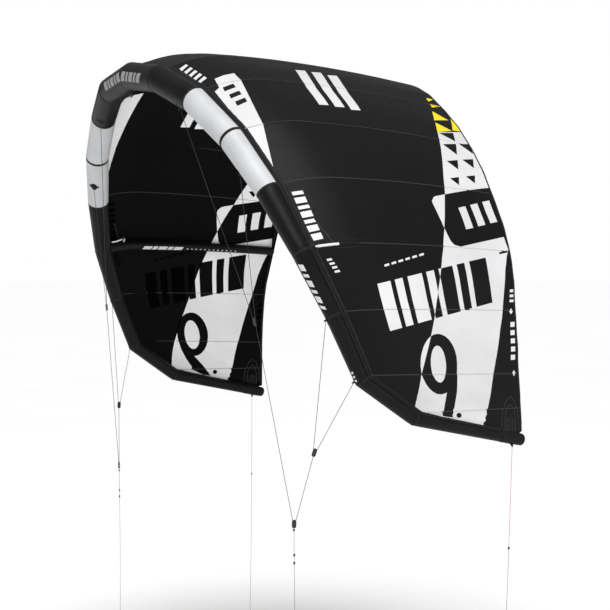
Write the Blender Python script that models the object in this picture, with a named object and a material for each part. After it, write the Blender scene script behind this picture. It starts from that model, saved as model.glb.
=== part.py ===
"""Leading-edge inflatable traction kite, 9 square metre size, with its bridle.

Metres, +Z up. The origin is the centre of the leading-edge tube's axis on the
plane of symmetry. +X points to the right wing, +Y runs aft along the chord
from leading edge to trailing edge, +Z is up.

The kite is an arch. A tapering inflated tube forms its leading edge, three
inflated struts run aft from it, and a single cloth skin is sewn to the tube
and the struts. Each wing has two rope loops that run over small sheaves, a
lower rope that runs over a third sheave, and the four line ends.
"""
import math

import bmesh
import bpy
from mathutils import Matrix, Vector

# ---------------------------------------------------------------- dimensions
SEAM_GAP = 0.0004  # half the slit between neighbouring sewn panels

# Seam stations of the right wing, centre to tip: leading-edge axis point,
# tube radius, trailing-edge point.
STATIONS = [
    ((0.000, 0.000, 0.000), 0.0850, (0.000, 1.755, 0.020)),
    ((0.419, 0.010, -0.054), 0.0830, (0.444, 1.752, -0.028)),
    ((0.780, 0.085, -0.204), 0.0800, (0.804, 1.747, -0.192)),
    ((1.136, 0.165, -0.446), 0.0765, (1.160, 1.733, -0.450)),
    ((1.405, 0.265, -0.749), 0.0700, (1.429, 1.718, -0.747)),
    ((1.610, 0.372, -1.088), 0.0575, (1.615, 1.722, -1.088)),
    ((1.719, 0.510, -1.430), 0.0475, (1.708, 1.700, -1.427)),
    ((1.758, 0.666, -1.788), 0.0430, (1.751, 1.695, -1.789)),
    ((1.779, 0.985, -2.012), 0.0410, (1.765, 1.699, -1.985)),
    ((1.772, 1.693, -2.167), 0.0340, (1.773, 1.703, -2.125)),
]
STRUT_STATION = 5  # the outer struts sit on this seam
TIP = 9
CAP_U = 8.80  # the tip cap covers the tube from here to its end
TUBE_SIDES = 16
CASING_WALL = 0.0016
BLADDER_WALL = 0.0010
BLADDER_CLEAR = 0.0008
BLADDER_MOUTH_R = 0.006
BLADDER_SIDES = 8

CANOPY_T = 0.0020
CANOPY_ATTACH_DEG = 34.0  # round the tube from its outer side towards the skin
CANOPY_STANDOFF = 0.0018
CAMBER_PEAK = 0.23  # chord fraction of the greatest camber
CAMBER = [0.056, 0.056, 0.057, 0.058, 0.058, 0.057, 0.054, 0.048, 0.022, 0.004]
CHORD_STEPS = 13

STRUT_SIDES = 12
STRUT_R_FRONT = 0.036
STRUT_R_REAR = 0.0275
STRUT_CLEAR = 0.0020
STRUT_FROM = 0.045
STRUT_TO = 0.992

ROPE_R = 0.0016  # bridle rope
LINE_R = 0.00125  # line ends
HOSE_R = 0.0055

SHEAVE_R = 0.0095
SHEAVE_GROOVE_R = 0.0062
SHEAVE_W = 0.0062
SHEAVE_BORE_R = 0.0033
ROPE_PATH_R = 0.0082  # radius of the rope's centre on the sheave
AXLE_R = 0.0029
CHEEK_T = 0.0016
CHEEK_GAP = 0.0074
CHEEK_W = 0.024
CHEEK_UP = 0.015
CHEEK_DOWN = 0.033
BECKET_TOP = 0.0135

# Rope geometry of the right wing.
LOOP_A = (1.80, 3.50)  # seam positions where loop A leaves the tube
LOOP_B = (6.02, 6.98)
SHEAVE_A = (1.230, 0.260, -1.472)
SHEAVE_B = (1.565, 0.472, -2.190)
SHEAVE_C = (1.419, 0.415, -2.605)
REAR_START = (1.790, 1.625, -2.199)
REAR_END = (1.745, 1.585, -3.900)
FRONT_END = (1.417, 0.416, -3.900)

VALVE_X = 0.60  # seam position of each valve, either side of the centre
VALVE_DEG = 128.0  # round the tube, from its top towards aft
VALVE_FLANGE_R = 0.028
VALVE_FLANGE_T = 0.004
VALVE_BOSS_R = 0.0150
VALVE_BOSS_H = 0.0130
VALVE_BORE_R = 0.0085
VALVE_CAP_R = 0.0180
VALVE_CAP_T = 0.0045
VALVE_HINGE_OUT = 0.0215

CLIP_LEN = 0.032
CLIP_W = 0.010
CLIP_T = 0.004

# ------------------------------------------------------------------ clearing
for o in list(bpy.data.objects):
    bpy.data.objects.remove(o, do_unlink=True)

COLLECTION = bpy.context.scene.collection


def material(name, colour, roughness, metallic=0.0):
    m = bpy.data.materials.new(name)
    m.use_nodes = True
    shader = m.node_tree.nodes["Principled BSDF"]
    shader.inputs["Base Color"].default_value = (*colour, 1.0)
    shader.inputs["Roughness"].default_value = roughness
    shader.inputs["Metallic"].default_value = metallic
    return m


def add(name, mesh, mat, location=None):
    mesh.materials.clear()
    mesh.materials.append(mat)
    o = bpy.data.objects.new(name, mesh)
    COLLECTION.objects.link(o)
    if location is not None:
        o.location = location
    return o


def finish_mesh(bm, name, smooth_deg=35.0):
    bmesh.ops.recalc_face_normals(bm, faces=bm.faces[:])
    if bm.calc_volume(signed=True) < 0:
        bmesh.ops.reverse_faces(bm, faces=bm.faces[:])
    mesh = bpy.data.meshes.new(name)
    bm.to_mesh(mesh)
    bm.free()
    mesh.shade_smooth()
    mesh.set_sharp_from_angle(angle=math.radians(smooth_deg))
    return mesh


# ----------------------------------------------------- the leading-edge axis
AXIS = [Vector(s[0]) for s in STATIONS]
RADIUS = [s[1] for s in STATIONS]
TRAIL = [Vector(s[2]) for s in STATIONS]
SEG_DIR = [(AXIS[k + 1] - AXIS[k]).normalized() for k in range(TIP)]


def segment_frames():
    """Directions outward and aft of each segment, carried along the bend."""
    frames = []
    n, e = Vector((0, 0, 1)), Vector((0, 1, 0))
    previous = Vector((1, 0, 0))
    for d in SEG_DIR:
        turn = previous.rotation_difference(d)
        n, e = turn @ n, turn @ e
        frames.append((n.copy(), e.copy()))
        previous = d
    return frames


FRAMES = segment_frames()


def mitre_normal(k):
    if k == 0:
        return Vector((1, 0, 0))
    if k == TIP:
        return SEG_DIR[TIP - 1].copy()
    return (SEG_DIR[k - 1] + SEG_DIR[k]).normalized()


def tube_point(k, angle, radius):
    """Point of the mitred section at station k, at radius from the axis."""
    seg = min(k, TIP - 1)
    n, e = FRAMES[seg]
    d = (math.cos(angle) * n + math.sin(angle) * e) * radius
    t, m = SEG_DIR[seg], mitre_normal(k)
    return AXIS[k] + d - t * (d.dot(m) / t.dot(m))


def lerp(a, b, f):
    return a + (b - a) * f


def tube_at(u, angle, extra):
    """Point at seam position u, extra outside the tube's radius there."""
    k = min(int(u), TIP - 1)
    f = u - k
    a = tube_point(k, angle, RADIUS[k] + extra)
    if f < 1e-9:
        return a
    return lerp(a, tube_point(k + 1, angle, RADIUS[k + 1] + extra), f)


def axis_at(u):
    k = min(int(u), TIP - 1)
    return lerp(AXIS[k], AXIS[k + 1], u - k)


def radius_at(u):
    k = min(int(u), TIP - 1)
    return lerp(RADIUS[k], RADIUS[k + 1], u - k)


def mirrored(points):
    return [Vector((-p.x, p.y, p.z)) for p in points]


def ring(u, extra, side, shift=0.0, sides=TUBE_SIDES):
    """One section of the tube on a side (+1 right, -1 left)."""
    k = min(int(u), TIP - 1)
    direction = SEG_DIR[k]
    if shift < 0 and u == int(u) and u > 0:
        direction = SEG_DIR[int(u) - 1]
    points = [
        tube_at(u, 2 * math.pi * i / sides, extra) + direction * shift
        for i in range(sides)
    ]
    return points if side > 0 else mirrored(points)


def chain_mesh(name, rings, closed):
    """Skin over a chain of rings; a ring of one point is a pole."""
    bm = bmesh.new()
    made = [[bm.verts.new(p) for p in r] for r in rings]
    pairs = list(zip(made, made[1:]))
    if closed:
        pairs.append((made[-1], made[0]))
    for a, b in pairs:
        n = max(len(a), len(b))
        for i in range(n):
            j = (i + 1) % n
            if len(a) == 1:
                bm.faces.new((a[0], b[j], b[i]))
            elif len(b) == 1:
                bm.faces.new((a[i], a[j], b[0]))
            else:
                bm.faces.new((a[i], a[j], b[j], b[i]))
    return finish_mesh(bm, name)


def casing(name, mat, us, side):
    """Open-ended length of sewn tube between two seams."""
    def layer(extra):
        out = []
        for i, u in enumerate(us):
            shift = SEAM_GAP if i == 0 else -SEAM_GAP if i == len(us) - 1 else 0.0
            out.append(ring(u, extra, side, shift))
        return out

    outer, inner = layer(0.0), layer(-CASING_WALL)
    return add(name, chain_mesh(name, outer + inner[::-1], True), mat)


def both_sides(us):
    """Seam positions from the left wing to the right, with their side."""
    return [(u, -1) for u in reversed(us) if u > 0] + [(u, 1) for u in us]


def centre_casing(name, mat, last):
    us = both_sides([0, 1, last])

    def layer(extra):
        out = []
        for u, side in us:
            shift = -SEAM_GAP if u == last else 0.0
            points = ring(u, extra, side, shift)
            out.append(points)
        return out

    outer, inner = layer(0.0), layer(-CASING_WALL)
    return add(name, chain_mesh(name, outer + inner[::-1], True), mat)


def tip_cap(name, mat, side):
    """Sleeve with a domed end, open where the tube enters it."""
    def dome(extra):
        r0 = RADIUS[TIP] + extra
        out = [ring(CAP_U, extra, side, SEAM_GAP), ring(8.93, extra, side)]
        n, e = FRAMES[TIP - 1]
        t = SEG_DIR[TIP - 1]
        for deg in (0, 30, 58, 78):
            a = math.radians(deg)
            points = [
                AXIS[TIP]
                + t * (r0 * 0.62 * math.sin(a))
                + (math.cos(2 * math.pi * i / TUBE_SIDES) * n
                   + math.sin(2 * math.pi * i / TUBE_SIDES) * e) * (r0 * math.cos(a))
                for i in range(TUBE_SIDES)
            ]
            out.append(points if side > 0 else mirrored(points))
        pole = [AXIS[TIP] + t * (r0 * 0.64)]
        out.append(pole if side > 0 else mirrored(pole))
        return out

    outer, inner = dome(0.0), dome(-CASING_WALL)
    return add(name, chain_mesh(name, outer[::-1] + inner, False), mat)


# ------------------------------------------------------------ the cloth skin
def catmull(values, u):
    k = min(int(u), TIP - 1)
    f = u - k
    p1, p2 = values[k], values[k + 1]
    if k > 0:
        p0 = values[k - 1]
    elif isinstance(p1, Vector):
        p0 = Vector((-p2.x, p2.y, p2.z))
    else:
        p0 = p2
    p3 = values[k + 2] if k + 2 <= TIP else p2 + (p2 - p1)
    return 0.5 * (
        2 * p1 + (p2 - p0) * f
        + (2 * p0 - 5 * p1 + 4 * p2 - p3) * f * f
        + (3 * p1 - p0 - 3 * p2 + p3) * f * f * f
    )


def trail_at(u):
    return catmull(TRAIL, u)


def camber_shape(s):
    p = CAMBER_PEAK
    if s < p:
        return (2 * p * s - s * s) / (p * p)
    return ((1 - 2 * p) + 2 * p * s - s * s) / ((1 - p) ** 2)


ATTACH = math.radians(CANOPY_ATTACH_DEG)


def outward_at(u):
    """Unit vector out of the arch at seam position u."""
    h = 0.12
    lo, hi = max(0.0, u - h), min(float(TIP), u + h)
    mid = [lerp(axis_at(x), trail_at(x), 0.45) for x in (lo, hi)]
    along = (mid[1] - mid[0]).normalized()
    if u < h:
        along = Vector((1, 0, 0))
    chord = (trail_at(u) - axis_at(u)).normalized()
    return along.cross(chord).normalized()


def skin_at(u, s):
    """Middle of the cloth on the right wing: s runs from tube to trailing edge."""
    start = tube_at(u, ATTACH, CANOPY_STANDOFF)
    end = trail_at(u)
    chord = (end - start).length
    if u > 7.0:
        out = outward_at(7.0).lerp(Vector((1, 0, 0)), min(1.0, u - 7.0)).normalized()
    else:
        out = outward_at(u)
    return lerp(start, end, s) + out * (catmull(CAMBER, u) * camber_shape(s) * chord)


def skin_normal(u, s):
    h = 0.02
    us = (max(0.0, u - h), min(float(TIP), u + h))
    a = skin_at(us[1], s) - skin_at(us[0], s)
    if u < 1e-6:
        a = Vector((1, 0, 0))
    b = skin_at(u, min(1.0, s + 0.01)) - skin_at(u, max(0.0, s - 0.01))
    return a.cross(b).normalized()


def chord_steps():
    """Chord positions, closer together over the curved front."""
    return [(i / CHORD_STEPS) ** 1.35 for i in range(CHORD_STEPS + 1)]


def canopy(name, mat, u0, u1, rows, side):
    """One sewn section of the skin as a thin closed sheet."""
    du = 0.0011
    us = [lerp(u0 + du, u1 - du, i / rows) for i in range(rows + 1)]
    ss = chord_steps()
    bm = bmesh.new()
    layers = []
    for sign in (1, -1):
        grid = []
        for u in us:
            row = []
            for s in ss:
                p = skin_at(u, s) + skin_normal(u, s) * (sign * CANOPY_T / 2)
                if side < 0:
                    p = Vector((-p.x, p.y, p.z))
                row.append(bm.verts.new(p))
            grid.append(row)
        layers.append(grid)
    top, bottom = layers
    nu, ns = len(us), len(ss)
    for i in range(nu - 1):
        for j in range(ns - 1):
            bm.faces.new((top[i][j], top[i][j + 1], top[i + 1][j + 1], top[i + 1][j]))
            bm.faces.new((bottom[i][j], bottom[i + 1][j], bottom[i + 1][j + 1], bottom[i][j + 1]))
    for i in range(nu - 1):
        for j in (0, ns - 1):
            bm.faces.new((top[i][j], top[i + 1][j], bottom[i + 1][j], bottom[i][j]))
    for j in range(ns - 1):
        for i in (0, nu - 1):
            bm.faces.new((top[i][j], top[i][j + 1], bottom[i][j + 1], bottom[i][j]))
    return add(name, finish_mesh(bm, name), mat)


# -------------------------------------------------------------------- struts
def strut_frame(u, s):
    """Axis point, direction, up and side of a strut at chord position s."""
    h = 0.012
    r = lerp(STRUT_R_FRONT, STRUT_R_REAR, s)

    def centre(x):
        rr = lerp(STRUT_R_FRONT, STRUT_R_REAR, x)
        return skin_at(u, x) - skin_normal(u, x) * (CANOPY_T / 2 + STRUT_CLEAR + rr)

    c = centre(s)
    t = (centre(s + h) - centre(s - h)).normalized()
    up = skin_normal(u, s)
    side = t.cross(up).normalized()
    up = side.cross(t).normalized()
    return c, t, up, side, r


def strut_ring(u, s, extra, side_of_kite, along=0.0, scale=1.0, sides=STRUT_SIDES):
    c, t, up, side, r = strut_frame(u, s)
    rr = (r + extra) * scale
    points = [
        c + t * along
        + up * (rr * math.cos(2 * math.pi * i / sides))
        + side * (rr * math.sin(2 * math.pi * i / sides))
        for i in range(sides)
    ]
    return points if side_of_kite > 0 else mirrored(points)


def strut_steps():
    n = 8
    return [lerp(STRUT_FROM, STRUT_TO - 0.01, (i / n) ** 1.3) for i in range(n + 1)]


def strut_casing(name, mat, u, side):
    """Sewn tube, open at the leading edge and rounded at the trailing edge."""
    def layer(extra):
        out = [strut_ring(u, s, extra, side) for s in strut_steps()]
        last = strut_steps()[-1]
        for along, scale in ((0.012, 0.90), (0.019, 0.66), (0.023, 0.33)):
            out.append(strut_ring(u, last, extra, side, along + extra * 0.9, scale))
        c, t, *_ = strut_frame(u, last)
        pole = [c + t * (0.0245 + extra * 0.9)]
        out.append(pole if side > 0 else mirrored(pole))
        return out

    outer, inner = layer(0.0), layer(-CASING_WALL)
    return add(name, chain_mesh(name, outer[::-1] + inner, False), mat)


def strut_bladder(name, mat, u, side):
    """Air tube of a strut, with its mouth at the leading edge."""
    off = -(CASING_WALL + BLADDER_CLEAR + 0.0015)

    def layer(extra):
        steps = strut_steps()
        out = [
            strut_ring(u, steps[0], extra, side, 0.010 + (off - extra), BLADDER_MOUTH_R / 0.034, BLADDER_SIDES),
            strut_ring(u, steps[0], extra, side, 0.014 + (off - extra), 0.80, BLADDER_SIDES),
        ]
        out += [strut_ring(u, s, extra, side, 0.0, 1.0, BLADDER_SIDES) for s in steps[1:-1]]
        last = steps[-1]
        for along, scale in ((-0.004, 0.96), (0.008, 0.72)):
            out.append(strut_ring(u, last, extra, side, along + extra * 0.6, scale, BLADDER_SIDES))
        c, t, *_ = strut_frame(u, last)
        pole = [c + t * (0.0145 + extra * 0.6)]
        out.append(pole if side > 0 else mirrored(pole))
        return out

    outer, inner = layer(off), layer(off - BLADDER_WALL)
    return add(name, chain_mesh(name, outer[::-1] + inner, False), mat)


def leading_bladder(name, mat):
    """Air tube of the whole leading edge, with a small mouth at each end."""
    off = -(CASING_WALL + BLADDER_CLEAR)
    us = both_sides([0, 1, 2, 3, 4, 5, 6, 7, 8, 8.92])

    def mouth(side, extra, along):
        t, (n, e) = SEG_DIR[TIP - 1], FRAMES[TIP - 1]
        c = axis_at(8.92) + t * (0.010 + along)
        rr = BLADDER_MOUTH_R
        points = [
            c + (math.cos(2 * math.pi * i / TUBE_SIDES) * n
                 + math.sin(2 * math.pi * i / TUBE_SIDES) * e) * rr
            for i in range(TUBE_SIDES)
        ]
        return points if side > 0 else mirrored(points)

    def layer(extra, along):
        body = [ring(u, extra, side) for u, side in us]
        return [mouth(-1, extra, along)] + body + [mouth(1, extra, along)]

    outer, inner = layer(off, 0.0), layer(off - BLADDER_WALL, -BLADDER_WALL * 1.2)
    return add(name, chain_mesh(name, outer + inner[::-1], True), mat)


# --------------------------------------------------------------------- ropes
def rope(name, mat, points, radius, side, resolution=2):
    """Round rope along points: a curve with a bevel and filled ends."""
    curve = bpy.data.curves.new(name, "CURVE")
    curve.dimensions = "3D"
    curve.bevel_depth = radius
    curve.bevel_resolution = resolution
    curve.use_fill_caps = True
    spline = curve.splines.new("POLY")
    spline.points.add(len(points) - 1)
    for sp, p in zip(spline.points, points):
        sp.co = (p.x * side, p.y, p.z, 1.0)
    curve.materials.append(mat)
    o = bpy.data.objects.new(name, curve)
    COLLECTION.objects.link(o)
    return o


def rope_anchor(u, towards):
    """Where a rope meets the tube, on the side that faces its sheave."""
    k = min(int(u), TIP - 1)
    c = axis_at(u)
    d = Vector(towards) - c
    d -= SEG_DIR[k] * d.dot(SEG_DIR[k])
    d = (d.normalized() + Vector((0, -0.55, 0))).normalized()
    t = mitre_normal(k) if abs(u - k) < 0.05 else SEG_DIR[k]
    d = (d - t * d.dot(t)).normalized()
    return c + d * (radius_at(u) * 1.02 + 0.0025)


def straight(a, b, n):
    return [lerp(a, b, i / n) for i in range(n)]


class Pulley:
    """A sheave between two cheeks, hung in the bight of a rope."""

    def __init__(self, centre, end1, end2):
        self.centre = Vector(centre)
        self.end1, self.end2 = Vector(end1), Vector(end2)
        l1 = (self.end1 - self.centre).normalized()
        l2 = (self.end2 - self.centre).normalized()
        self.up = (l1 + l2).normalized()
        self.normal = l1.cross(l2).normalized()
        self.across = self.up.cross(self.normal).normalized()
        if l1.dot(self.across) > 0:
            self.across = -self.across
        self.across = self.across.normalized()
        self.becket = self.centre - self.up * (CHEEK_DOWN + 0.0008)

    def matrix(self):
        z = self.up
        y = self.normal
        x = y.cross(z)
        m = Matrix((x, y, z)).transposed().to_4x4()
        m.translation = self.centre
        return m

    def route(self):
        """Down one leg, round the sheave, and up the other leg."""
        def flat(p):
            d = p - self.centre
            return d.dot(self.across), d.dot(self.up)

        def tangent(p, sign):
            x, y = flat(p)
            base, dist = math.atan2(y, x), math.hypot(x, y)
            spread = math.acos(ROPE_PATH_R / dist)
            options = [base + spread, base - spread]
            return max(options, key=lambda a: sign * math.cos(a))

        sign1 = 1 if flat(self.end1)[0] > flat(self.end2)[0] else -1
        a1, a2 = tangent(self.end1, sign1), tangent(self.end2, -sign1)
        low = -math.pi / 2
        while a1 - low > math.pi:
            a1 -= 2 * math.pi
        while a1 - low < -math.pi:
            a1 += 2 * math.pi
        while a2 - low > math.pi:
            a2 -= 2 * math.pi
        while a2 - low < -math.pi:
            a2 += 2 * math.pi
        steps = 8
        arc = []
        for i in range(steps + 1):
            a = lerp(a1, a2, i / steps)
            arc.append(self.centre + ROPE_PATH_R * (math.cos(a) * self.across + math.sin(a) * self.up))
        return straight(self.end1, arc[0], 3) + arc + [lerp(arc[-1], self.end2, (i + 1) / 3) for i in range(3)]


def stadium(bm, half, up, down, y0, y1, segments=8):
    """Plate with round ends in the XZ plane, from y0 to y1."""
    outline = []
    for i in range(segments + 1):
        a = math.pi * i / segments
        outline.append((half * math.cos(a), up - half + half * math.sin(a)))
    for i in range(segments + 1):
        a = math.pi + math.pi * i / segments
        outline.append((half * math.cos(a), -down + half + half * math.sin(a)))
    front = [bm.verts.new((x, y0, z)) for x, z in outline]
    back = [bm.verts.new((x, y1, z)) for x, z in outline]
    n = len(outline)
    bm.faces.new(front)
    bm.faces.new(back[::-1])
    for i in range(n):
        j = (i + 1) % n
        bm.faces.new((front[i], back[i], back[j], front[j]))


def solid_from(build, name):
    bm = bmesh.new()
    build(bm)
    bmesh.ops.recalc_face_normals(bm, faces=bm.faces[:])
    if bm.calc_volume(signed=True) < 0:
        bmesh.ops.reverse_faces(bm, faces=bm.faces[:])
    mesh = bpy.data.meshes.new(name)
    bm.to_mesh(mesh)
    bm.free()
    o = bpy.data.objects.new(name, mesh)
    COLLECTION.objects.link(o)
    return o


def boolean(base, others, operation):
    """Apply a Boolean for each of the others, then remove them."""
    for other in others:
        m = base.modifiers.new("join", "BOOLEAN")
        m.operation = operation
        m.solver = "EXACT"
        m.object = other
        depsgraph = bpy.context.evaluated_depsgraph_get()
        depsgraph.update()
        mesh = bpy.data.meshes.new_from_object(base.evaluated_get(depsgraph))
        base.modifiers.clear()
        old = base.data
        base.data = mesh
        bpy.data.meshes.remove(old)
        bpy.data.objects.remove(other, do_unlink=True)
    return base


def cylinder_on(bm, radius, h0, h1, axis, sides, offset=(0.0, 0.0)):
    """Cylinder along Y or Z between two heights."""
    rings = []
    for h in (h0, h1):
        row = []
        for i in range(sides):
            a = 2 * math.pi * i / sides
            x, y = radius * math.cos(a) + offset[0], radius * math.sin(a) + offset[1]
            row.append(bm.verts.new((x, h, y) if axis == "Y" else (x, y, h)))
        rings.append(row)
    bm.faces.new(rings[0])
    bm.faces.new(rings[1][::-1])
    for i in range(sides):
        j = (i + 1) % sides
        bm.faces.new((rings[0][i], rings[1][i], rings[1][j], rings[0][j]))


def box_on(bm, lo, hi):
    v = [bm.verts.new((x, y, z)) for x in (lo[0], hi[0]) for y in (lo[1], hi[1]) for z in (lo[2], hi[2])]
    for f in ((0, 1, 3, 2), (4, 6, 7, 5), (0, 4, 5, 1), (2, 3, 7, 6), (0, 2, 6, 4), (1, 5, 7, 3)):
        bm.faces.new([v[i] for i in f])


def pulley_frame_mesh():
    """Two cheeks, the axle between them and the becket block below."""
    inner, outer = CHEEK_GAP / 2, CHEEK_GAP / 2 + CHEEK_T
    half = CHEEK_W / 2
    base = solid_from(lambda bm: stadium(bm, half, CHEEK_UP, CHEEK_DOWN, inner, outer), "cheek_a")
    other = solid_from(lambda bm: stadium(bm, half, CHEEK_UP, CHEEK_DOWN, -outer, -inner), "cheek_b")
    axle = solid_from(lambda bm: cylinder_on(bm, AXLE_R, -outer + 0.0005, outer - 0.0005, "Y", 12), "axle")
    block = solid_from(
        lambda bm: box_on(bm, (-0.0085, -inner - 0.0006, -CHEEK_DOWN + 0.004), (0.0085, inner + 0.0006, -BECKET_TOP)),
        "becket",
    )
    boolean(base, [axle, other, block], "UNION")
    mesh = base.data
    bpy.data.objects.remove(base, do_unlink=True)
    mesh.shade_smooth()
    mesh.set_sharp_from_angle(angle=math.radians(35))
    return mesh


def sheave_mesh():
    """Grooved wheel turned about Y, with its bore."""
    w = SHEAVE_W / 2
    profile = [
        (SHEAVE_BORE_R, -w), (SHEAVE_R, -w), (SHEAVE_R, -w + 0.0006),
        (SHEAVE_GROOVE_R, -0.0012), (SHEAVE_GROOVE_R, 0.0012),
        (SHEAVE_R, w - 0.0006), (SHEAVE_R, w), (SHEAVE_BORE_R, w),
    ]
    sides = 14
    rings = []
    for r, y in profile:
        rings.append([
            Vector((r * math.cos(2 * math.pi * i / sides), y, r * math.sin(2 * math.pi * i / sides)))
            for i in range(sides)
        ])
    return chain_mesh("sheave", rings, True)


# --------------------------------------------------------------------- valves
def valve_body_mesh():
    """Flange and boss along +Z, with the bore open at the top."""
    base = solid_from(lambda bm: cylinder_on(bm, VALVE_FLANGE_R, 0.0, VALVE_FLANGE_T, "Z", 24), "flange")
    boss = solid_from(
        lambda bm: cylinder_on(bm, VALVE_BOSS_R, VALVE_FLANGE_T / 2, VALVE_FLANGE_T + VALVE_BOSS_H, "Z", 20), "boss"
    )
    boolean(base, [boss], "UNION")
    bore = solid_from(
        lambda bm: cylinder_on(bm, VALVE_BORE_R, VALVE_FLANGE_T, VALVE_FLANGE_T + VALVE_BOSS_H + 0.01, "Z", 16), "bore"
    )
    boolean(base, [bore], "DIFFERENCE")
    mesh = base.data
    bpy.data.objects.remove(base, do_unlink=True)
    mesh.shade_smooth()
    mesh.set_sharp_from_angle(angle=math.radians(35))
    return mesh


def valve_cap_mesh():
    """Cap with its hinge tab, drawn about the hinge axis along X."""
    cap = solid_from(
        lambda bm: cylinder_on(bm, VALVE_CAP_R, -VALVE_CAP_T / 2, VALVE_CAP_T / 2, "Z", 20, (0.0, -VALVE_HINGE_OUT)),
        "cap",
    )
    tab = solid_from(
        lambda bm: box_on(bm, (-0.0055, -VALVE_HINGE_OUT + 0.010, -0.0014), (0.0055, 0.0022, 0.0014)), "tab"
    )
    boolean(cap, [tab], "UNION")
    mesh = cap.data
    bpy.data.objects.remove(cap, do_unlink=True)
    mesh.shade_smooth()
    mesh.set_sharp_from_angle(angle=math.radians(35))
    return mesh


def valve_matrix(side):
    """Seat of a valve on the tube: Z out of the tube, X along it."""
    a = math.radians(VALVE_DEG)
    u = VALVE_X
    c = axis_at(u)
    z = (tube_at(u, a, 0.0) - c)
    t = SEG_DIR[0]
    z = (z - t * z.dot(t)).normalized()
    origin = c + z * (radius_at(u) + 0.0010)
    x = t.copy()
    if side < 0:
        origin.x, z.x = -origin.x, -z.x
        x = Vector((x.x, -x.y, -x.z))
    y = z.cross(x).normalized()
    m = Matrix((x, y, z)).transposed().to_4x4()
    m.translation = origin
    return m


# ---------------------------------------------------------------------- hoses
def hose_points(u_strut, side_in):
    """Hose from the tube to the strut, on the inboard side of the strut."""
    if u_strut == 0:
        u_start, s_end = 0.19, 0.068
    else:
        u_start, s_end = u_strut - 0.17, 0.078
    a = math.radians(100.0)
    c0 = axis_at(u_start)
    d0 = tube_at(u_start, a, 0.0) - c0
    t0 = SEG_DIR[min(int(u_start), TIP - 1)]
    d0 = (d0 - t0 * d0.dot(t0)).normalized()
    p0 = c0 + d0 * (radius_at(u_start) + 0.0022)
    c1, t1, up1, side1, r1 = strut_frame(u_strut, s_end)
    inboard = side1 if side1.dot(c0 - c1) > 0 else -side1
    d1 = (inboard * 0.92 - up1 * 0.40).normalized()
    p1 = c1 + d1 * (r1 + 0.0024)
    reach = (p1 - p0).length * 0.55
    b0, b1 = p0 + d0 * reach, p1 + d1 * reach
    points = []
    n = 10
    for i in range(n + 1):
        f = i / n
        points.append(
            p0 * (1 - f) ** 3 + b0 * (3 * f * (1 - f) ** 2) + b1 * (3 * f * f * (1 - f)) + p1 * f ** 3
        )
    return points


def clip_data(points):
    """Seat of the clip lever beside the hose's middle: matrix about its pivot."""
    mid = points[len(points) // 2]
    t = (points[len(points) // 2 + 1] - points[len(points) // 2 - 1]).normalized()
    chord = (points[0] + points[-1]) / 2
    out = mid - chord
    out = (out - t * out.dot(t)).normalized()
    axis = t.cross(out).normalized()
    pivot = mid + out * (HOSE_R + 0.0030 + CLIP_T / 2) - t * (CLIP_LEN / 2)
    m = Matrix((t, out, t.cross(out))).transposed().to_4x4()
    m.translation = pivot
    return m, axis, pivot


# ------------------------------------------------------------------ the parts
black_cloth = material("black_casing", (0.018, 0.018, 0.020), 0.42)
white_cloth = material("white_casing", (0.78, 0.79, 0.80), 0.45)
skin_black = material("canopy_black", (0.020, 0.020, 0.022), 0.55)
skin_side = material("canopy_side", (0.60, 0.61, 0.62), 0.55)
film = material("bladder_film", (0.55, 0.60, 0.62), 0.30)
rope_mat = material("bridle_rope", (0.22, 0.22, 0.23), 0.70)
line_mat = material("line_end", (0.45, 0.45, 0.46), 0.70)
plastic = material("pulley_plastic", (0.015, 0.015, 0.016), 0.35)
steel = material("sheave_metal", (0.55, 0.56, 0.58), 0.30, 0.9)
hose_mat = material("hose_silicone", (0.80, 0.81, 0.82), 0.35)
valve_mat = material("valve_plastic", (0.05, 0.05, 0.055), 0.40)
clip_mat = material("clip_plastic", (0.04, 0.04, 0.045), 0.40)

centre_casing("le_centre", black_cloth, 2)
for side, wing in ((1, "right"), (-1, "left")):
    casing(f"le_shoulder_{wing}", white_cloth, [2, 3, 4], side)
    casing(f"le_side_{wing}", black_cloth, [4, 5, 6], side)
    casing(f"le_outer_{wing}", black_cloth, [6, 7], side)
    casing(f"le_tip_{wing}", black_cloth, [7, 8, CAP_U], side)
    tip_cap(f"tip_cap_{wing}", black_cloth, side)

    canopy(f"canopy_centre_{wing}", skin_black, 0.0, 2.0, 4, side)
    canopy(f"canopy_shoulder_{wing}", skin_black, 2.0, 5.0, 6, side)
    canopy(f"canopy_side_{wing}", skin_side, 5.0, 7.0, 4, side)
    canopy(f"canopy_tip_{wing}", skin_side, 7.0, 8.96, 4, side)

    strut_casing(f"strut_{wing}", black_cloth, STRUT_STATION, side)
    strut_bladder(f"strut_bladder_{wing}", film, STRUT_STATION, side)

strut_casing("strut_centre", black_cloth, 0.0, 1)
strut_bladder("strut_bladder_centre", film, 0.0, 1)
leading_bladder("le_bladder", film)

# Pulleys and ropes. The left wing is the mirror image of the right.
frame_mesh, wheel_mesh = pulley_frame_mesh(), sheave_mesh()
anchor_a = [rope_anchor(u, SHEAVE_A) for u in LOOP_A]
anchor_b = [rope_anchor(u, SHEAVE_B) for u in LOOP_B]
pulley_a = Pulley(SHEAVE_A, *anchor_a)
pulley_b = Pulley(SHEAVE_B, *anchor_b)
pulley_c = Pulley(SHEAVE_C, pulley_a.becket, pulley_b.becket)
FRONT_START = pulley_c.becket - Vector((0, 0, 0.0030))


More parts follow.
